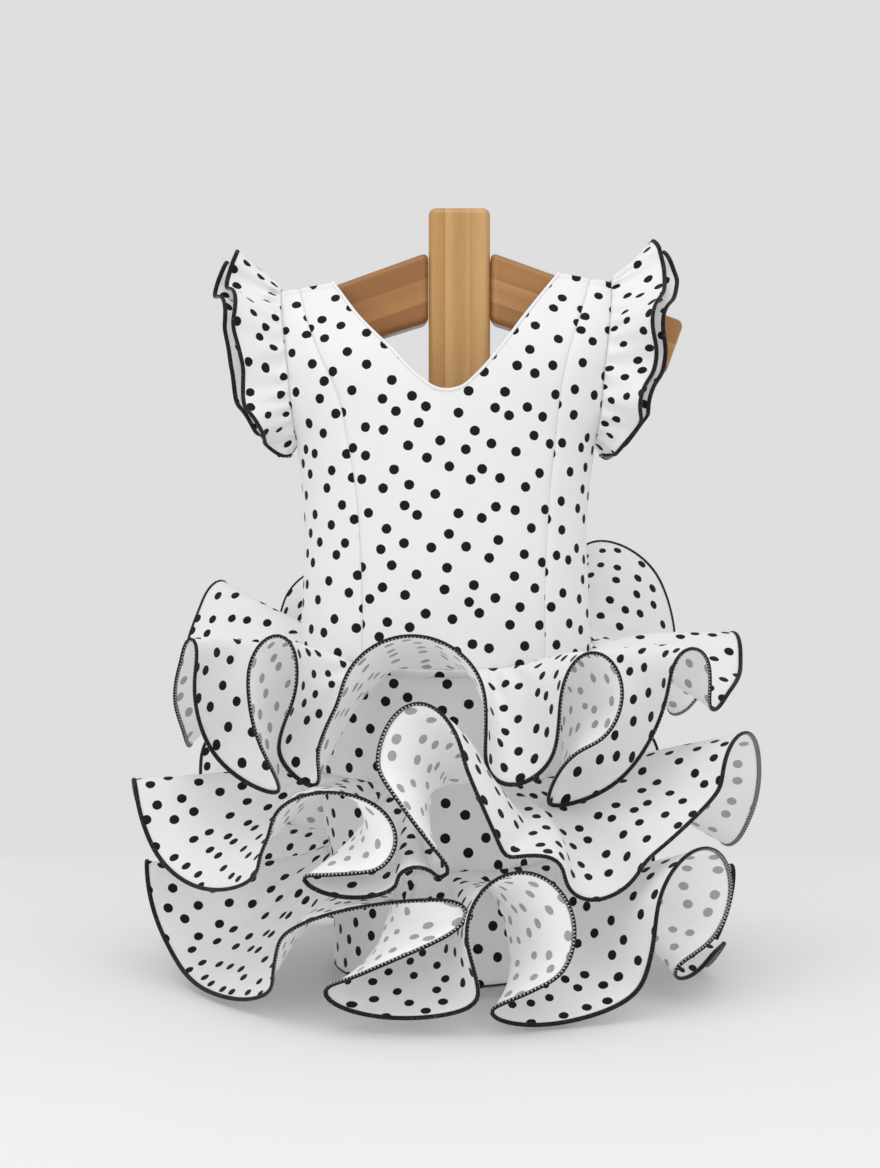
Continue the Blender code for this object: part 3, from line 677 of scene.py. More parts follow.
@dataclass(frozen=True)
class BodyForm:
    """The shape that the bodice and the tube of the skirt follow, hanging from the stand's arms."""

    post_x: float = 0.0106
    arm_top_at_post: float = 0.580
    arm_slope: float = 0.36
    wood_clearance: float = 0.0017
    neck_x: float = 0.091
    shoulder_tip_x: float = 0.131
    shoulder_tip_lift: float = 0.008
    underarm: float = 0.421
    armhole_flare: float = 1.10
    roundness: float = 2.3
    boxiness: float = 3.7
    seam_gap: float = 0.0001
    hip: float = 0.242
    hip_rise: float = 0.034
    flat_level: float = 0.30
    level_reach: float = 0.078
    depths: tuple[DepthRow, ...] = (
        DepthRow(0.0000, 0.0000, 0.0000),
        DepthRow(0.0004, 0.0120, 0.0120),
        DepthRow(0.006, 0.0185, 0.0185),
        DepthRow(0.016, 0.0270, 0.0270),
        DepthRow(0.035, 0.0400, 0.0380),
        DepthRow(0.060, 0.0550, 0.0500),
        DepthRow(0.090, 0.0655, 0.0600),
        DepthRow(0.130, 0.0705, 0.0660),
        DepthRow(0.200, 0.0715, 0.0690),
        DepthRow(0.270, 0.0735, 0.0735),
        DepthRow(0.335, 0.0745, 0.0745),
        DepthRow(0.400, 0.0890, 0.0890),
        DepthRow(0.480, 0.1085, 0.1085),
    )
    sides: tuple[SideRow, ...] = (
        SideRow(0.020, 0.0880),
        SideRow(0.085, 0.0900),
        SideRow(0.165, 0.1040),
        SideRow(0.240, 0.1145),
        SideRow(0.270, 0.1145),
        SideRow(0.300, 0.1130),
        SideRow(0.340, 0.1115),
        SideRow(0.380, 0.1135),
        SideRow(0.421, 0.1180),
        SideRow(0.446, 0.1210),
        SideRow(0.476, 0.1235),
        SideRow(0.503, 0.1270),
        SideRow(0.530, 0.1300),
        SideRow(0.560, 0.1310),
    )

    def arm_top(self, x: Any) -> np.ndarray:
        """Height of the top of the stand's arms."""
        return self.arm_top_at_post - self.arm_slope * np.abs(np.asarray(x, float) - self.post_x)

    def shoulder(self, x: Any) -> np.ndarray:
        """Height of the cloth's inner face along the shoulders."""
        share = np.clip((np.abs(x) - self.neck_x) / (self.shoulder_tip_x - self.neck_x), 0, 1)
        return self.arm_top(x) + self.wood_clearance + self.shoulder_tip_lift * share

    def half_width(self, z: Any) -> np.ndarray:
        """Half width of the body at a height."""
        return hermite(column(self.sides, "height"), column(self.sides, "half_width"), z)

    def depth(self, x: Any, z: Any, back: bool) -> np.ndarray:
        """Distance of the cloth from the middle plane at the width's centre."""
        below = np.maximum(self.shoulder(x) - z, 0)
        roots = np.sqrt(column(self.depths, "below"))
        return hermite(roots, column(self.depths, "back" if back else "front"), np.sqrt(below))

    def y(self, x: Any, z: Any, back: bool = False) -> np.ndarray:
        """The body's surface: an oval below the underarm, boxier and open to the side above it."""
        above = smoothstep(self.underarm - 0.002, self.underarm + 0.030, z)
        widest = self.half_width(z) * (1 + (self.armhole_flare - 1) * above)
        power = self.roundness + self.boxiness * smoothstep(0.440, 0.520, z)
        share = np.clip(1 - np.abs(np.asarray(x) / widest) ** power, 0, 1)
        y = self.depth(x, z, back) * np.sqrt(share) + self.seam_gap / 2
        return y if back else -y

    def normal(self, x: Any, z: Any, back: bool = False) -> np.ndarray:
        """Unit vectors pointing out of the body's surface."""
        step = 0.0005
        y_x = (self.y(x + step, z, back) - self.y(x - step, z, back)) / (2 * step)
        y_z = (self.y(x, z + step, back) - self.y(x, z - step, back)) / (2 * step)
        return unit(np.stack([-y_x, np.ones_like(y_x), -y_z], -1) * (1 if back else -1))

    def hip_height(self, x: Any, back: bool = False) -> np.ndarray:
        """Height of the first tier's seam, which rises towards the back."""
        share = np.clip(np.asarray(x, float) / self.half_width(self.hip), -1, 1)
        front = np.sqrt(1 - share**2) * (-1 if back else 1)
        return self.hip + self.hip_rise * (1 - front) / 2

    def lifted(self, patch: np.ndarray, back: bool = False) -> np.ndarray:
        """(x, height) points set on the body's front or back."""
        x, z = patch[..., 0], patch[..., 1]
        return np.stack([x, self.y(x, z, back), z], -1)

    def flat_map(self, patch: np.ndarray, back: bool = False) -> np.ndarray:
        """Where (x, height) points lie on the flat cloth: metres round from the middle, and up."""
        x, z = patch[..., 0], patch[..., 1]
        share = np.linspace(0, 1, 25)
        walk = x[..., None] * share
        y = self.y(walk, z[..., None], back)
        round_it = np.hypot(np.diff(walk, axis=-1), np.diff(y, axis=-1)).sum(-1) * np.sign(x)
        level = np.clip(x, -self.level_reach, self.level_reach)
        tilt = (self.shoulder(level) - self.shoulder(x)) * smoothstep(0.36, 0.50, z)
        rise = self.flat_level + (z + tilt - self.flat_level)[..., None] * share
        y = self.y(level[..., None], rise, back)
        up = np.hypot(np.diff(rise, axis=-1), np.diff(y, axis=-1)).sum(-1)
        return np.stack([round_it, up * np.sign(z - self.flat_level) - tilt], -1)


BODY = BodyForm()
COTTON = DottedCotton()


def cotton_pair(name: str, shift: Shift = (0.0, 0.0)) -> list[bpy.types.Material]:
    """The two sides of the dotted cloth for one piece."""
    return [
        COTTON.material(f"{name}_right_side", ClothSide.RIGHT, shift),
        COTTON.material(f"{name}_wrong_side", ClothSide.WRONG, shift),
    ]


# The bodice


@dataclass
class Bodice:
    """Front panels, back halves and the neck's piping."""

    form: BodyForm = BODY
    wall: float = 0.0012
    hip_lap: float = 0.006
    rows: int = 110
    seam_dip: float = 0.0011
    seam_reach: float = 0.0030
    piping_radius: float = 0.00125
    seams: tuple[SeamRow, ...] = (
        SeamRow(0.240, -0.0645, 0.0755),
        SeamRow(0.287, -0.0645, 0.0755),
        SeamRow(0.320, -0.0655, 0.0765),
        SeamRow(0.352, -0.0670, 0.0785),
        SeamRow(0.386, -0.0705, 0.0810),
        SeamRow(0.416, -0.0760, 0.0840),
        SeamRow(0.453, -0.0840, 0.0880),
        SeamRow(0.486, -0.0990, 0.0950),
        SeamRow(0.516, -0.1100, 0.1045),
        SeamRow(0.550, -0.1190, 0.1150),
    )
    front_neck: tuple[tuple[float, float], ...] = (
        (-0.0667, 0.5110),
        (-0.0443, 0.4876),
        (-0.0197, 0.4625),
        (-0.0079, 0.4550),
        (0.0002, 0.4537),
        (0.0125, 0.4564),
        (0.0245, 0.4664),
        (0.0408, 0.4850),
        (0.0617, 0.5137),
    )
    back_neck: tuple[tuple[float, float], ...] = (
        (0.066, 0.514),
        (0.040, 0.490),
        (0.018, 0.472),
        (0.0, 0.466),
    )

    def seam_path(self, side: int, low: float, high: float, count: int = 90) -> np.ndarray:
        """One front seam, upwards."""
        zs = np.linspace(low, high, count)
        xs = hermite(column(self.seams, "height"), column(self.seams, side_word(side)), zs)
        return np.stack([xs, zs], 1)

    def seam_foot(self, side: int) -> float:
        """Where a front seam meets the hip seam, without the gap."""
        return float(self.seam_path(side, self.seams[0].height, self.seams[1].height)[0][0])

    def hip_line(self, x_from: float, x_to: float, count: int, back: bool = False) -> np.ndarray:
        """A stretch of a panel's lower edge, which laps over the hip seam."""
        xs = np.linspace(x_from, x_to, count)
        return np.stack([xs, self.form.hip_height(xs, back) - self.hip_lap], 1)

    def outer_line(self, side: int, low: float, high: float) -> np.ndarray:
        """The side seam and the armhole, upwards."""
        zs = np.linspace(low, high, 90)
        return np.stack([side * self.form.half_width(zs), zs], 1)

    def shoulder_point(self, side: int) -> tuple[float, float]:
        """Where the neckline meets the shoulder."""
        x = side * self.form.neck_x
        return x, float(self.form.shoulder(x))

    def seam_top(self, side: int) -> float:
        """Where a front seam meets the shoulder line."""
        x = side * 0.118
        for _ in range(8):
            x = float(self.seam_path(side, 0.50, float(self.form.shoulder(x)))[-1][0])
        return x

    def front_neckline(self, count: int = 200) -> np.ndarray:
        """The V from shoulder to shoulder, as (x, height)."""
        rows = [self.shoulder_point(-1), *self.front_neck, self.shoulder_point(1)]
        return smooth_path(rows, count)

    def back_neckline(self, side: int, count: int = 120) -> np.ndarray:
        """From the centre-back seam up to the shoulder, as (x, height)."""
        rows = [self.shoulder_point(side), *((side * x, z) for x, z in self.back_neck)]
        return smooth_path(rows, count)[::-1]

    def strap(self, x_from: float, x_to: float, count: int = 24) -> np.ndarray:
        """A stretch of the shoulder line."""
        xs = np.linspace(x_from, x_to, count)
        return np.stack([xs, self.form.shoulder(xs)], 1)

    def turned_in(self, points: np.ndarray, edges: Sequence[str]) -> np.ndarray:
        """Dips the cloth into its seams at the named edges of a patch."""
        normals = grid_normals(points)
        for edge in edges:
            at = 0 if edge == "first" else -1
            reach = np.linalg.norm(points - points[:, at][:, None], axis=-1)
            dip = self.seam_dip * np.exp(-((reach / self.seam_reach) ** 2))
            points = points - normals * dip[..., None]
        return points

    def crowded(self, count: int, power: float = 1.9) -> np.ndarray:
        """Shares of a height that crowd together at the shoulder."""
        return 1 - np.linspace(1, 0, count) ** power

    def soft_folds(self, points: np.ndarray, strength: float, seed: float) -> np.ndarray:
        """Slight hollows and swells that hang from the shoulders and fade at the hip."""
        x, z = points[..., 0], points[..., 2]
        normals = grid_normals(points)
        wave = np.sin(x * 74 + z * 9 + seed) * 0.55 + np.sin(x * 131 - z * 17 + 2.1 * seed) * 0.30
        wave += np.sin(z * 38 + x * 25 + seed * 3) * 0.45
        fade = smoothstep(0.56, 0.47, z) * smoothstep(0.236, 0.275, z)
        return points + normals * (wave * fade * strength)[..., None]

    def panel(
        self, node: str, patch: np.ndarray, back: bool, seam_edges: Sequence[str], shift: Shift
    ) -> None:
        """Makes one panel in place of its solid.

        Args:
            node: the solid's name.
            patch: its (x, height) points, with increasing x for a front and decreasing for a back.
            back: whether it lies on the back.
            seam_edges: the patch's edges that dip into a seam.
            shift: moves the print under it, in metres.
        """
        name = f"{node}_cloth"
        flat = self.form.flat_map(patch, back)
        points = self.turned_in(self.form.lifted(patch, back), seam_edges)
        points = self.soft_folds(points, 0.00055, shift[0] * 40)
        obj = walled(grid_object(name, points, flat, cotton_pair(name, shift)), self.wall, 1.0)
        size = float(np.ptp(flat[..., 0])), float(np.ptp(flat[..., 1]))
        sheet_piece(obj, node, points, size)

    def front_centre(self) -> None:
        """The middle panel with the V neck."""
        gap = self.form.seam_gap / 2
        bottom = self.hip_line(self.seam_foot(-1) + gap, self.seam_foot(1) - gap, 60)
        neck = self.front_neckline()
        left_strap = self.strap(self.seam_top(-1) + gap, -self.form.neck_x)
        right_strap = self.strap(self.form.neck_x, self.seam_top(1) - gap)
        top = np.concatenate([left_strap[:-1], neck, right_strap[1:]])
        lengths = np.array([path_lengths(p)[-1] for p in (left_strap, neck, right_strap)])
        ends = np.cumsum([0, *lengths]) / lengths.sum()
        half = 34
        u = (np.linspace(0, 1, half + 1)[1:]) ** 1.8 / 2
        middle = np.concatenate([u, 1 - u[::-1][1:], [1.0]])
        shares = np.concatenate(
            [
                np.linspace(0, ends[1], 10),
                ends[1] + (ends[2] - ends[1]) * middle,
                np.linspace(ends[2], 1, 10)[1:],
            ]
        )
        left = self.seam_path(-1, bottom[0][1], top[0][1]) + np.array([gap, 0])
        right = self.seam_path(1, bottom[-1][1], top[-1][1]) - np.array([gap, 0])
        patch = coons(bottom, top, left, right, shares, self.crowded(self.rows))
        self.panel("front_centre", patch, False, ("first", "last"), (0.011, 0.004))

    def front_side(self, side: int) -> None:
        """The panel between a front seam, the side seam and the armhole."""
        gap = self.form.seam_gap / 2
        side_x = side * float(self.form.half_width(self.form.hip))
        bottom = self.hip_line(self.seam_foot(side) + side * gap, side_x, 40)
        top = self.strap(self.seam_top(side) + side * gap, side * self.form.shoulder_tip_x)
        inner = self.seam_path(side, bottom[0][1], top[0][1]) + np.array([side * gap, 0])
        outer = self.outer_line(side, bottom[-1][1], top[-1][1])
        shares = np.sin(np.linspace(0, math.pi / 2, 30))
        patch = coons(bottom, top, inner, outer, shares, self.crowded(self.rows))
        patch = patch[:, ::-1] if side < 0 else patch
        edges = ("last",) if side < 0 else ("first",)
        self.panel(f"front_side_{side_word(side)}", patch, False, edges, (0.005 * side, 0.009))

    def back(self, side: int) -> None:
        """One half of the back."""
        inner_x = side * self.form.seam_gap / 2
        bottom = self.hip_line(inner_x, side * float(self.form.half_width(self.form.hip)), 50, back=True)
        neck = self.back_neckline(side) + np.array([inner_x, 0])
        strap = self.strap(side * self.form.neck_x, side * self.form.shoulder_tip_x)
        top = np.concatenate([neck[:-1], strap])
        share = path_lengths(neck)[-1] / (path_lengths(neck)[-1] + path_lengths(strap)[-1])
        u = 1 - np.linspace(1, 0, 36) ** 1.8
        shares = np.concatenate([share * u, share + (1 - share) * np.linspace(0, 1, 14)[1:]])
        inner = np.array([[inner_x, bottom[0][1]], [inner_x, top[0][1]]])
        outer = self.outer_line(side, bottom[-1][1], top[-1][1])
        patch = coons(bottom, top, inner, outer, shares, self.crowded(self.rows))
        patch = patch[:, ::-1] if side > 0 else patch
        edges = ("first",) if side < 0 else ("last",)
        self.panel(f"back_{side_word(side)}", patch, True, edges, (0.007 * side, 0.002))

    def neck_line(self) -> tuple[np.ndarray, np.ndarray]:
        """The whole neckline as a closed line in space, with the body's normal at each point."""
        shares = (1 - np.cos(np.linspace(0, math.pi, 150))) / 2
        front = resample(self.front_neckline(600), shares)
        halves = 1 - np.cos(np.linspace(0, math.pi / 2, 70)[::-1])
        right = resample(self.back_neckline(1, 300)[::-1], 1 - halves)
        left = resample(self.back_neckline(-1, 300), halves[::-1])
        places, normals = [], []
        for path, back in ((front, False), (right[1:-1], True), (left[:-1], True)):
            x, z = path[:, 0], path[:, 1]
            places.extend(np.stack([x, self.form.y(x, z, back), z], 1))
            normals.extend(self.form.normal(x, z, back))
        return np.array(places), np.array(normals)

    def piping(self) -> None:
        """The narrow binding round the neck."""
        places, normals = self.neck_line()
        for _ in range(2):
            normals = unit(np.roll(normals, 1, axis=0) + 2 * normals + np.roll(normals, -1, axis=0))
        step = unit(np.roll(places, -1, axis=0) - places)
        along = unit(step + np.roll(step, 1, axis=0))
        inwards = unit(np.cross(normals, along))
        line = places + normals * 0.0010 + inwards * (self.piping_radius + 0.0001)
        line, inwards, normals = (np.append(a, a[:1], axis=0) for a in (line, inwards, normals))
        points, flat = tube_along(line, inwards, normals, self.piping_radius, self.piping_radius * 0.9, 12)
        finish = WhiteBinding().material("white_binding")
        obj = grid_object("neck_binding", points, flat, [finish], ring=True, tube=True)
        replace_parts(obj, "neck_piping")

    def build(self) -> None:
        """Makes every piece of the bodice in place of its solid."""
        self.front_centre()
        for side in (-1, 1):
            self.front_side(side)
            self.back(side)
        self.piping()


# Ruffles


@dataclass(frozen=True)
class Overlock:
    """The black overlocked edge along a ruffle, which stands a little past the cloth."""

    half_width: float = 0.0018
    half_height: float = 0.0014
    overhang: float = 0.0008

    def along(self, name: str, points: np.ndarray, ring: bool) -> bpy.types.Object:
        """Makes the band along the last row of a sheet's grid.

        Args:
            name: the piece's name.
            points: the sheet's middle surface, seam first and edge last.
            ring: whether the sheet closes on itself.

        Returns:
            The band.
        """
        normals = grid_normals(points, ring)[-1]
        edge = points[-1]
        outwards = unit(edge - points[-2])
        path = edge + outwards * (self.overhang - self.half_width)
        band, flat = tube_along(path, outwards, normals, self.half_width, self.half_height, 10)
        return grid_object(name, band, flat, [OverlockThread().material(name)], ring=ring, tube=True)


class FoldKind(Enum):
    """An arc over a crest, or under a trough."""

    CREST = 1
    TROUGH = -1


class Fold(NamedTuple):
    """One arc of a tier's edge as seen from outside, in degrees of turn and metres of height."""

    kind: FoldKind
    turn: float
    height: float
    half_turn: float
    half_height: float
    wrap_in: float = 0
    wrap_out: float = 0
    lean: float = 0


CREST, TROUGH = FoldKind.CREST, FoldKind.TROUGH


@dataclass
class RuffleTier:
    """One circular ruffle: a closed ring of cloth whose edge runs in deep round folds."""

    name: str
    seam_height: float
    seam_rise: float
    depth: float
    bow: float
    folds: tuple[Fold, ...]
    shift: tuple[float, float] = (0.0, 0.0)
    form: BodyForm = BODY
    columns: int = 640
    rows: int = 22
    wall: float = 0.0007
    lowest_edge: float = 0.0030
    stand_off: float = 0.00265
    seam_share: float = 0.5
    swing_late: float = 1.4
    gather_depth: float = 0.0022
    unevenness: float = 0.0010
    seed: float = 0.0
    steps: int = 1600

    def arc(self, fold: Fold, radius: float) -> tuple[np.ndarray, np.ndarray]:
        """The arc of one fold as (turn, height), left to right."""
        if fold.kind is CREST:
            angles = np.radians(np.linspace(180 + fold.wrap_in, -fold.wrap_out, 14))
        else:
            angles = np.radians(np.linspace(180 - fold.wrap_in, 360 + fold.wrap_out, 14))
        lean = math.radians(fold.lean)
        across = math.radians(fold.half_turn) * radius * np.cos(angles)
        up = fold.half_height * np.sin(angles)
        x = across * math.cos(lean) - up * math.sin(lean)
        z = across * math.sin(lean) + up * math.cos(lean)
        return fold.turn + np.degrees(x / radius), fold.height + z

    def seam_ring(self, turn: np.ndarray) -> np.ndarray:
        """The seam on the body, just outside the cloth it is sewn to."""
        t = np.radians(turn)
        z = self.seam_height + self.seam_rise * (1 - np.cos(t)) / 2
        widest = self.form.half_width(z)
        x = widest * np.sin(t)
        front = np.cos(t) > 0
        y = np.where(front, self.form.y(x, z), self.form.y(x, z, back=True))
        depth = np.where(front, self.form.depth(x, z, False), self.form.depth(x, z, True))
        sideways = np.abs(np.sin(t)) ** 1.3 * np.sign(x) * 1.15 / widest
        normal = unit(np.stack([sideways, y / depth**2], 1))
        return np.stack([x, y, z], 1) + np.append(normal, np.zeros((len(x), 1)), 1) * self.stand_off

    def ends(self) -> tuple[np.ndarray, np.ndarray]:
        """Seam point and edge point of each column, starting at the centre back."""
        radius = float(self.form.half_width(self.seam_height)) + 0.75 * self.depth
        arcs = [self.arc(fold, radius) for fold in self.folds]
        turn, height = resample_ring(
            np.concatenate([a[0] for a in arcs]), np.concatenate([a[1] for a in arcs]), radius, self.steps
        )
        turn, height = smooth_ring(turn, 30, 360), smooth_ring(height, 30)
        turn, height = resample_ring(turn, height, radius, self.steps)
        even = np.arange(self.steps) * 360 / self.steps
        even += np.mean(turn - even)
        slow = smooth_ring(turn[:: self.steps // 400], 450, 360)
        slow = np.interp(np.arange(self.steps), np.arange(400) * (self.steps // 400), slow)
        seam_turn = (1 - self.seam_share) * even + self.seam_share * slow
        start = int(np.argmin(np.abs((seam_turn % 360) - 180)))
        turn, height, seam_turn = (np.roll(a, -start) for a in (turn, height, seam_turn))
        pick = np.arange(self.columns) * self.steps / self.columns
        base = np.floor(pick).astype(int)
        part = pick - base

        def read(values: np.ndarray, whole: float) -> np.ndarray:
            """The values at the picked places, where a full turn counts as none."""
            after = values[(base + 1) % self.steps]
            gap = (after - values[base] + whole / 2) % whole - whole / 2 if whole else after - values[base]
            return values[base] + part * gap

        turn, seam_turn, height = read(turn, 360.0), read(seam_turn, 360.0), read(height, 0.0)
        height = np.maximum(height, self.lowest_edge)
        seam = self.seam_ring(seam_turn)
        facing = np.stack([np.sin(np.radians(turn)), -np.cos(np.radians(turn))], 1)
        toward = (facing * seam[:, :2]).sum(1)
        drop = height - seam[:, 2]
        room = toward**2 - (seam[:, :2] ** 2).sum(1) + self.depth**2 - drop**2
        reach = toward + np.sqrt(np.maximum(room, 0.010**2))
        return seam, np.append(facing * reach[:, None], height[:, None], 1)

    def surface(self) -> np.ndarray:
        """The middle surface of the cloth, seam first; its last column lies on its first."""
        seam, edge = self.ends()
        t = np.linspace(0, 1, self.rows + 1)[:, None]
        points = seam + (edge - seam) * t[..., None]
        swing = np.arctan2(edge[:, 0], -edge[:, 1]) - np.arctan2(seam[:, 0], -seam[:, 1])
        swing = (swing + math.pi) % (2 * math.pi) - math.pi
        late = swing * (t**2 - t) * self.swing_late
        x, y = points[..., 0].copy(), points[..., 1].copy()
        points[..., 0] = x * np.cos(late) - y * np.sin(late)
        points[..., 1] = x * np.sin(late) + y * np.cos(late)
        points[..., 2] += 4 * t * (1 - t) * self.bow
        return np.append(points, points[:, :1], axis=1)

    def rippled(self, points: np.ndarray) -> np.ndarray:
        """Soft gathers that fade from the seam towards the edge, and a slight unevenness."""
        t = np.linspace(0, 1, self.rows + 1)[:, None]
        turn = 2 * math.pi * np.arange(self.columns + 1)[None] / self.columns
        gather = np.sin(46 * turn + 2.0 * np.sin(7 * turn + 3 * t) + self.seed)
        gather = gather * smoothstep(0, 0.12, t) * (1 - t) ** 2.2 * self.gather_depth
        swell = np.sin(19 * turn + 5 * t + self.seed) * np.sin(11 * turn - 4 * t + 2 * self.seed)
        swell = swell * smoothstep(0, 0.3, t) * (1 - 0.5 * t) * self.unevenness
        return points + grid_normals(points, ring=True) * (gather + swell)[..., None]

    def flat_map(self, points: np.ndarray) -> np.ndarray:
        """Unrolls the ring flat: the seam curls round as the edge is longer than it."""
        seam_step = np.linalg.norm(np.diff(points[0], axis=0), axis=1)
        edge_step = np.linalg.norm(np.diff(points[-1], axis=0), axis=1)
        depth = np.linalg.norm(points[-1] - points[0], axis=1)
        curl = (edge_step - seam_step) / self.depth
        angle = np.concatenate([[0], np.cumsum(curl)])
        middle = (angle[1:] + angle[:-1]) / 2
        walk = seam_step[:, None] * np.stack([-np.sin(middle), np.cos(middle)], 1)
        seam = np.concatenate([[[0.0, 0.0]], np.cumsum(walk, axis=0)])
        out = np.stack([np.cos(angle), np.sin(angle)], 1) * depth[:, None]
        t = np.linspace(0, 1, self.rows + 1)[:, None, None]
        return seam[None] + out[None] * t

    def build(self) -> None:
        """Makes the tier and its edge in place of the solid."""
        points = self.rippled(self.surface())
        points, flat = points[:, ::-1], self.flat_map(points)[:, ::-1]
        name = f"{self.name}_ruffle"
        sheet = grid_object(name, points, flat, cotton_pair(name, self.shift), ring=True)
        obj = walled(sheet, self.wall, 0.0)
        edge = Overlock().along(f"{self.name}_overlock", points, ring=True)
        size = float(path_lengths(points[-1])[-1]), self.depth
        sheet_piece(obj, self.name, points, size)


class SleeveRow(NamedTuple):
    """How far a sleeve ruffle's edge stands out of the armhole and away from the arm."""

    place: float
    out: float
    away: float


@dataclass
class SleeveRuffle:
    """One gathered layer round an armhole, from front underarm over the shoulder to back underarm."""

    name: str
    node: str
    side: int
    share: float = 1.0
    away_more: float = 0.0
    seed: float = 0.0
    form: BodyForm = BODY
    start: float = 0.012
    seam_out: float = 0.0008
    layer_gap: float = 0.0030
    radii: tuple[float, float] = (0.036, 0.062)
    columns: int = 260
    rows: int = 22
    wall: float = 0.0007
    gathers: int = 27
    gather_depth: float = 0.0019
    flutes: int = 9
    flute_depth: float = 0.0024
    flute_start: float = 0.5
    low_flutes: float = 1.3
    rows_table: tuple[SleeveRow, ...] = (
        SleeveRow(0.00, 0.004, 0.002),
        SleeveRow(0.05, 0.018, 0.007),
        SleeveRow(0.11, 0.029, 0.015),
        SleeveRow(0.17, 0.036, 0.026),
        SleeveRow(0.23, 0.044, 0.014),
        SleeveRow(0.31, 0.042, 0.032),
        SleeveRow(0.40, 0.052, 0.012),
        SleeveRow(0.50, 0.043, 0.025),
        SleeveRow(0.59, 0.051, 0.012),
        SleeveRow(0.68, 0.042, 0.030),
        SleeveRow(0.77, 0.045, 0.013),
        SleeveRow(0.84, 0.035, 0.024),
        SleeveRow(0.92, 0.024, 0.010),
        SleeveRow(1.00, 0.004, 0.002),
    )

    def armhole(self, place: np.ndarray) -> np.ndarray:
        """Points on the armhole."""
        top = self.form.shoulder(self.side * self.form.shoulder_tip_x)
        z = self.form.underarm + (top - self.form.underarm) * (1 - np.cos(2 * math.pi * place)) / 2
        x = self.side * self.form.half_width(z)
        y = np.where(place > 0.5, self.form.y(x, z, back=True), self.form.y(x, z))
        return np.stack([x, y, z], -1)

    def surface(self) -> np.ndarray:
        """The middle surface, seam first."""
        place = np.linspace(self.start, 1 - self.start, self.columns)
        seam = self.armhole(place)
        top = float(self.form.shoulder(self.side * self.form.shoulder_tip_x))
        away = unit((seam[:, 1:] - np.array([0, (self.form.underarm + top) / 2])) / np.square(self.radii))
        places = column(self.rows_table, "place")
        out = hermite(places, column(self.rows_table, "out"), place) * self.share
        rise = hermite(places, column(self.rows_table, "away"), place) + self.away_more
        begin = self.layer_gap if self.away_more else 0.0
        seam = seam + np.array([self.side * self.seam_out, 0, 0])
        seam[:, 1:] += away * begin
        edge = seam + np.stack([self.side * out, away[:, 0] * (rise - begin), away[:, 1] * (rise - begin)], 1)
        t = np.linspace(0, 1, self.rows + 1)[:, None, None]
        points = seam + (edge - seam) * t
        ends = (smoothstep(0, 0.08, place) * smoothstep(1, 0.92, place))[None, :]
        t = t[..., 0]
        phase = 2 * math.pi * self.gathers * place + 1.3 * np.sin(2 * math.pi * 5 * place + self.seed)
        pucker = np.sin(phase)[None] * (1 - t) ** 1.4 * smoothstep(0, 0.10, t) * self.gather_depth * ends
        low = 1 + self.low_flutes * (smoothstep(0.44, 0.22, place) + smoothstep(0.62, 0.80, place))
        flute = np.sin(2 * math.pi * self.flutes * place + self.flute_start) * low * self.flute_depth
        wave = flute[None] * t**1.5 * ends
        return points + grid_normals(points) * (pucker + wave)[..., None]

    def build(self) -> None:
        """Makes the layer and its edge in place of the solid."""
        points = self.surface()
        along = path_lengths(points[-1])
        flat = np.zeros((*points.shape[:2], 2))
        flat[..., 0] = along[None]
        down = np.cumsum(np.linalg.norm(np.diff(points, axis=0), axis=-1), axis=0)
        flat[1:, :, 1] = down
        shift = (0.013 * self.seed, 0.004 * self.seed)
        if self.side > 0:
            points, flat = points[:, ::-1], flat[:, ::-1]
        obj = walled(grid_object(self.name, points, flat, cotton_pair(self.name, shift)), self.wall, 0.0)
        edge = Overlock().along(f"{self.name}_overlock", points, ring=False)
        size = float(along[-1]), float(down[-1].max())
        sheet_piece(obj, self.node, points, size)


@dataclass
class SkirtTube:
    """The tube that the lower tiers are sewn to, in two halves, with its overlocked hem."""

    form: BodyForm = BODY
    hem: float = 0.007
    top_gap: float = 0.0063
    wall: float = 0.0012
    columns: int = 70
    rows: int = 40

    def build(self) -> None:
        """Makes both halves in place of their solids."""
        for back, word in ((False, "front"), (True, "back")):
            shares = np.sin(np.linspace(-math.pi / 2, math.pi / 2, self.columns))
            patch = []
            for v in np.linspace(0, 1, self.rows):
                hip_x = shares * self.form.half_width(self.form.hip)
                top = self.form.hip_height(hip_x, back) - self.top_gap
                z = self.hem + (top - self.hem) * v
                patch.append(np.stack([shares * self.form.half_width(z), z], 1))
            grid = np.stack(patch)
            grid = grid[:, ::-1] if back else grid
            flat = self.form.flat_map(grid, back)
            points = self.form.lifted(grid, back)
            name = f"skirt_{word}_cloth"
            obj = walled(grid_object(name, points, flat, cotton_pair(name, (0.003, 0.006))), self.wall, 1.0)
            hem = Overlock().along(f"skirt_{word}_overlock", points[::-1, ::-1], ring=False)
            size = float(np.ptp(flat[..., 0])), float(np.ptp(flat[..., 1]))
            sheet_piece(obj, f"skirt_{word}", points, size)


# The stand


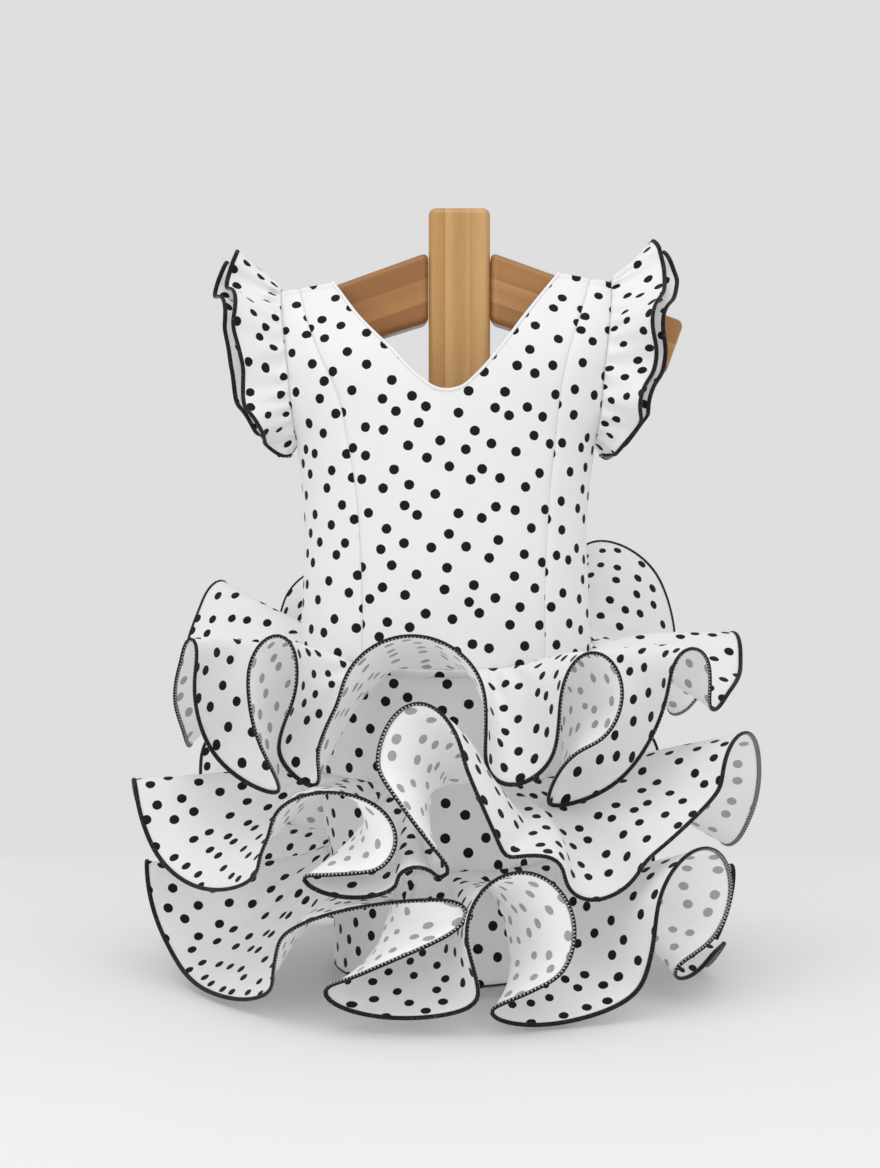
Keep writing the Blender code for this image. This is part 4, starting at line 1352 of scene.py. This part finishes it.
@dataclass
class Stand:
    """Base board, post and two sloping arms in laminated pine."""

    form: BodyForm = BODY
    post_width: float = 0.049
    thickness: float = 0.028
    post_top: float = 0.606
    corner: float = 0.006
    arm_edge: float = 0.006
    arm_reach: float = 0.179
    arm_root: float = 0.056
    arm_end: float = 0.046
    base: tuple[float, float, float] = (0.130, 0.104, 0.015)
    base_edge: float = 0.003
    joint_gap: float = 0.0004
    left_arm_tones: tuple[RGB, ...] = (
        (0.31, 0.130, 0.032),
        (0.44, 0.205, 0.064),
        (0.31, 0.126, 0.031),
    )
    # The right arm is the same pine as the left, its strips painted lighter as if lit from the right: painted
    # light on top of the real strip tones.
    right_arm_tones_painted_lighter: tuple[RGB, ...] = (
        (0.37, 0.168, 0.047),
        (0.50, 0.255, 0.086),
        (0.41, 0.190, 0.056),
    )
    post_tones: tuple[RGB, ...] = (
        (0.52, 0.285, 0.092),
        (0.62, 0.365, 0.135),
        (0.60, 0.352, 0.135),
    )
    base_tones: tuple[RGB, ...] = (
        (0.47, 0.26, 0.10),
        (0.43, 0.22, 0.08),
        (0.50, 0.29, 0.12),
        (0.45, 0.24, 0.09),
    )

    def block(
        self,
        name: str,
        corners: dict[tuple[bool, bool], tuple[float, float]],
        edge: float,
        finish: LaminatedPine,
    ) -> bpy.types.Object:
        """A bevelled block whose outline in x and height is given by its four corners."""
        bm = bmesh.new()
        bmesh.ops.create_cube(bm, size=2)
        for vertex in bm.verts:
            x, z = corners[(vertex.co.x > 0, vertex.co.z > 0)]
            vertex.co = (x, self.thickness / 2 * (1 if vertex.co.y > 0 else -1), z)
        bmesh.ops.recalc_face_normals(bm, faces=bm.faces)
        return self.rounded(name, bm, edge, finish)

    def rounded(
        self, name: str, bm: bmesh.types.BMesh, edge: float, finish: LaminatedPine
    ) -> bpy.types.Object:
        """Rounds a block's edges and makes it a piece."""
        geom = list(bm.edges) + list(bm.verts)
        bmesh.ops.bevel(bm, geom=geom, offset=edge, segments=6, affect="EDGES", profile=0.5, material=-1)
        for face in bm.faces:
            face.smooth = True
        mesh = bpy.data.meshes.new(name)
        bm.to_mesh(mesh)
        bm.free()
        mesh.materials.append(finish.material(name))
        obj = link(bpy.data.objects.new(name, mesh))
        flats = obj.modifiers.new("Flat faces", "WEIGHTED_NORMAL")
        flats.keep_sharp = True
        return obj

    def build(self) -> None:
        """Makes the stand in place of its solids."""
        form = self.form
        left, right = form.post_x - self.post_width / 2, form.post_x + self.post_width / 2
        foot = self.base[2] + self.joint_gap
        corners = {(False, False): (left, foot), (True, False): (right, foot)}
        corners |= {(False, True): (left, self.post_top), (True, True): (right, self.post_top)}
        post_finish = LaminatedPine(seams=(-0.0008, 0.0190), tones=self.post_tones)
        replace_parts(self.block("pine_post", corners, self.corner, post_finish), "stand_post")
        run, drop = math.cos(math.atan(form.arm_slope)), math.sin(math.atan(form.arm_slope))
        for side, word in ((-1, "left"), (1, "right")):
            root_x = form.post_x + side * (self.post_width / 2 + self.joint_gap)
            end_x = form.post_x + side * self.arm_reach
            root_top, end_top = float(form.arm_top(root_x)), float(form.arm_top(end_x))
            outer = side > 0
            corners = {
                (not outer, True): (root_x, root_top),
                (not outer, False): (root_x, root_top - self.arm_root),
                (outer, True): (end_x, end_top),
                (outer, False): (end_x - side * self.arm_end * drop, end_top - self.arm_end * run),
            }
            middle = form.arm_top_at_post + side * form.arm_slope * form.post_x
            arm_finish = LaminatedPine(
                seams=(middle - 0.040, middle - 0.021),
                # The right arm takes the strip tones painted lighter for the light from the right.
                tones=self.left_arm_tones if side < 0 else self.right_arm_tones_painted_lighter,
                slope=side * form.arm_slope,
                along_x=True,
                seed=0.7 * side,
            )
            arm = self.block(f"pine_arm_{word}", corners, self.arm_edge, arm_finish)
            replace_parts(arm, f"stand_arm_{word}")
        bm = bmesh.new()
        bmesh.ops.create_cube(bm, size=1)
        bmesh.ops.scale(bm, vec=self.base, verts=bm.verts)
        bmesh.ops.translate(bm, vec=(form.post_x, 0, self.base[2] / 2), verts=bm.verts)
        base_finish = LaminatedPine(seams=(-0.03, 0.02, 0.065), tones=self.base_tones)
        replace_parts(self.rounded("pine_base", bm, self.base_edge, base_finish), "stand_base")


# The studio


@dataclass
class Studio:
    """Pale floor and surround, soft lights, and the camera at the photograph's place."""

    camera_place: tuple[float, float, float] = (-0.0048, -1.5, 0.307)
    focal_pixels: float = 1875.0
    frame_height: float = 1168.0
    floor_end: float = 0.608
    front_reach: float = 4.0
    width: float = 9.0
    surround: float = 0.735
    sensor: float = 36.0

    def floor(self) -> None:
        """The pale floor, which ends behind the dress against the pale surround."""
        bm = bmesh.new()
        bmesh.ops.create_grid(bm, x_segments=1, y_segments=1, size=0.5)
        depth = self.front_reach + self.floor_end
        bmesh.ops.scale(bm, vec=(self.width, depth, 1), verts=bm.verts)
        bmesh.ops.translate(bm, vec=(0, self.floor_end - depth / 2, 0), verts=bm.verts)
        mesh = bpy.data.meshes.new("floor")
        bm.to_mesh(mesh)
        bm.free()
        shader = Shader("pale_paper")
        tone = shader.noise(shader.object_place(), 3.0)
        paper = shader.mix(tone, (0.85, 0.85, 0.85), (0.87, 0.87, 0.87))
        mesh.materials.append(shader.finish(Base_Color=paper, Roughness=0.7))
        link(bpy.data.objects.new("floor", mesh), riding=False)

    def area_light(
        self,
        name: str,
        place: tuple[float, float, float],
        target: tuple[float, float, float],
        size: float,
        power: float,
    ) -> None:
        """A square soft light aimed at a point."""
        light = bpy.data.lights.new(name, "AREA")
        light.shape = "SQUARE"
        light.size = size
        light.energy = power
        obj = bpy.data.objects.new(name, light)
        link(obj, riding=False)
        obj.location = place
        aim = np.array(target) - np.array(place)
        distance = float(np.linalg.norm(aim))
        obj.rotation_euler = (math.acos(-aim[2] / distance), 0.0, math.atan2(-aim[0], aim[1]))

    def lights(self) -> None:
        """Soft lights from the right, the left and above, and an even pale surround."""
        self.area_light("key", (1.1, -2.0, 1.4), (0.0, 0.0, 0.28), 1.1, 4.5)
        self.area_light("fill", (-1.3, -1.7, 0.45), (-0.1, 0.0, 0.08), 1.2, 6.0)
        self.area_light("top", (-0.1, -0.9, 2.3), (0.0, -0.2, 0.0), 1.8, 15.0)
        world = bpy.data.worlds.new("studio")
        world.use_nodes = True
        background = world.node_tree.nodes["Background"]
        background.inputs["Color"].default_value = (1.0, 1.0, 1.0, 1.0)
        background.inputs["Strength"].default_value = self.surround
        bpy.context.scene.world = world

    def camera(self) -> None:
        """The camera, level and square to the dress."""
        lens = bpy.data.cameras.new("camera")
        lens.sensor_width = self.sensor
        lens.lens = self.focal_pixels / self.frame_height * self.sensor
        lens.clip_end = 20.0
        obj = bpy.data.objects.new("camera", lens)
        link(obj, riding=False)
        obj.location = self.camera_place
        obj.rotation_euler = (math.pi / 2, 0.0, 0.0)
        bpy.context.scene.camera = obj

    def build(self) -> None:
        """Sets up floor, lights and camera."""
        self.floor()
        self.lights()
        self.camera()
        bpy.context.scene.view_settings.view_transform = "Standard"


TIERS = (
    RuffleTier(
        "tier_1", 0.242, 0.034, 0.118, 0.004,
        (
            Fold(CREST, -118, 0.288, 4.5, 0.024),
            Fold(TROUGH, -86, 0.212, 17, 0.034),
            Fold(CREST, -58.5, 0.252, 2.5, 0.018),
            Fold(TROUGH, -51.5, 0.180, 8.5, 0.030),
            Fold(CREST, -36.5, 0.240, 5.6, 0.032, 0, 50, -8),
            Fold(TROUGH, -35.5, 0.182, 5, 0.024),
            Fold(CREST, -7.3, 0.225, 15.2, 0.046),
            Fold(TROUGH, 16.3, 0.187, 8, 0.025),
            Fold(CREST, 30.3, 0.224, 7.1, 0.036, 0, 60),
            Fold(TROUGH, 37, 0.170, 9.5, 0.029, 40),
            Fold(CREST, 55, 0.236, 6.3, 0.025),
            Fold(TROUGH, 67, 0.222, 4, 0.012),
            Fold(CREST, 95, 0.245, 8, 0.023),
            Fold(TROUGH, 112, 0.215, 5, 0.020),
            Fold(CREST, 134, 0.303, 13, 0.042),
            Fold(TROUGH, 153, 0.225, 5, 0.030),
            Fold(CREST, 172, 0.285, 12, 0.040),
            Fold(TROUGH, 191, 0.220, 6, 0.030),
            Fold(CREST, 210, 0.285, 13, 0.038),
            Fold(TROUGH, 232, 0.215, 5, 0.025),
        ),
        (0.002, 0.007),
    ),
    RuffleTier(
        "tier_2", 0.157, 0.012, 0.142, 0.000,
        (
            Fold(CREST, -80, 0.140, 4, 0.016),
            Fold(TROUGH, -54, 0.115, 19, 0.031),
            Fold(CREST, -20, 0.133, 11.5, 0.032, 0, 45),
            Fold(TROUGH, -17.5, 0.105, 9.5, 0.014),
            Fold(CREST, -5, 0.103, 4, 0.013),
            Fold(TROUGH, -1, 0.112, 2, 0.006),
            Fold(CREST, -4.6, 0.183, 7.4, 0.044, 0, 0, 4),
            Fold(CREST, 14.5, 0.118, 4.5, 0.004),
            Fold(TROUGH, 28.5, 0.112, 8, 0.027),
            Fold(CREST, 68, 0.160, 13, 0.036),
            Fold(TROUGH, 97, 0.114, 9, 0.020),
            Fold(CREST, 113, 0.130, 4, 0.018),
            Fold(TROUGH, 124, 0.110, 5, 0.020),
            Fold(CREST, 138, 0.150, 9, 0.036, 5, 5),
            Fold(TROUGH, 158, 0.110, 10, 0.026),
            Fold(CREST, 182, 0.155, 11, 0.038, 10, 10),
            Fold(TROUGH, 213, 0.108, 9, 0.028),
            Fold(CREST, 232.5, 0.150, 8, 0.034, 5, 5),
            Fold(TROUGH, 247.5, 0.110, 5, 0.024),
            Fold(CREST, 256, 0.125, 3, 0.014),
            Fold(TROUGH, 266, 0.118, 3, 0.014),
        ),
        (0.009, 0.001),
    ),
    RuffleTier(
        "tier_3", 0.094, 0.006, 0.145, -0.008,
        (
            Fold(CREST, -86, 0.070, 3.5, 0.020),
            Fold(TROUGH, -56, 0.030, 24, 0.025),
            Fold(CREST, -12.5, 0.072, 17, 0.018, 0, 60, 15),
            Fold(TROUGH, -8, 0.027, 13.5, 0.015, 50),
            Fold(CREST, 11.5, 0.071, 8.6, 0.045, 0, 45, 4),
            Fold(TROUGH, 21.2, 0.022, 14.7, 0.018, 0, 0, 5),
            Fold(CREST, 48, 0.076, 12, 0.043, 0, 40),
            Fold(TROUGH, 57, 0.030, 8, 0.014),
            Fold(TROUGH, 84, 0.032, 8, 0.027),
            Fold(CREST, 98, 0.059, 4, 0.020),
            Fold(TROUGH, 118, 0.045, 11, 0.038),
            Fold(CREST, 138, 0.075, 7, 0.036, 5, 5),
            Fold(TROUGH, 158, 0.042, 11, 0.037),
            Fold(CREST, 182, 0.078, 8, 0.036, 10, 10),
            Fold(TROUGH, 205, 0.042, 12, 0.037),
            Fold(CREST, 227, 0.075, 7, 0.034, 5, 5),
            Fold(TROUGH, 250, 0.040, 10, 0.035),
        ),
        (0.006, 0.012),
    ),
)


def sleeves() -> list[SleeveRuffle]:
    """The four sleeve layers."""
    layers = []
    for side, word in ((-1, "left"), (1, "right")):
        under, top = f"under_ruffle_{word}", f"top_ruffle_{word}"
        layers.append(SleeveRuffle(under, f"sleeve_{under}", side, seed=0.6 + side))
        shorter = SleeveRuffle(top, f"sleeve_{top}", side, share=0.80, away_more=0.009, seed=2.2 + side)
        layers.append(shorter)
    return layers


def main() -> None:
    """Builds every piece in order."""
    steps: list[tuple[str, Callable[[], None]]] = [("studio", Studio().build), ("stand", Stand().build)]
    steps += [("bodice", Bodice().build), ("skirt tube", SkirtTube().build)]
    steps += [(layer.name, layer.build) for layer in sleeves()]
    steps += [(tier.name, tier.build) for tier in TIERS]
    for name, build in steps:
        build()
        LOG.info("built %s", name)


if __name__ == "__main__":
    logging.basicConfig(level=logging.INFO)
    main()
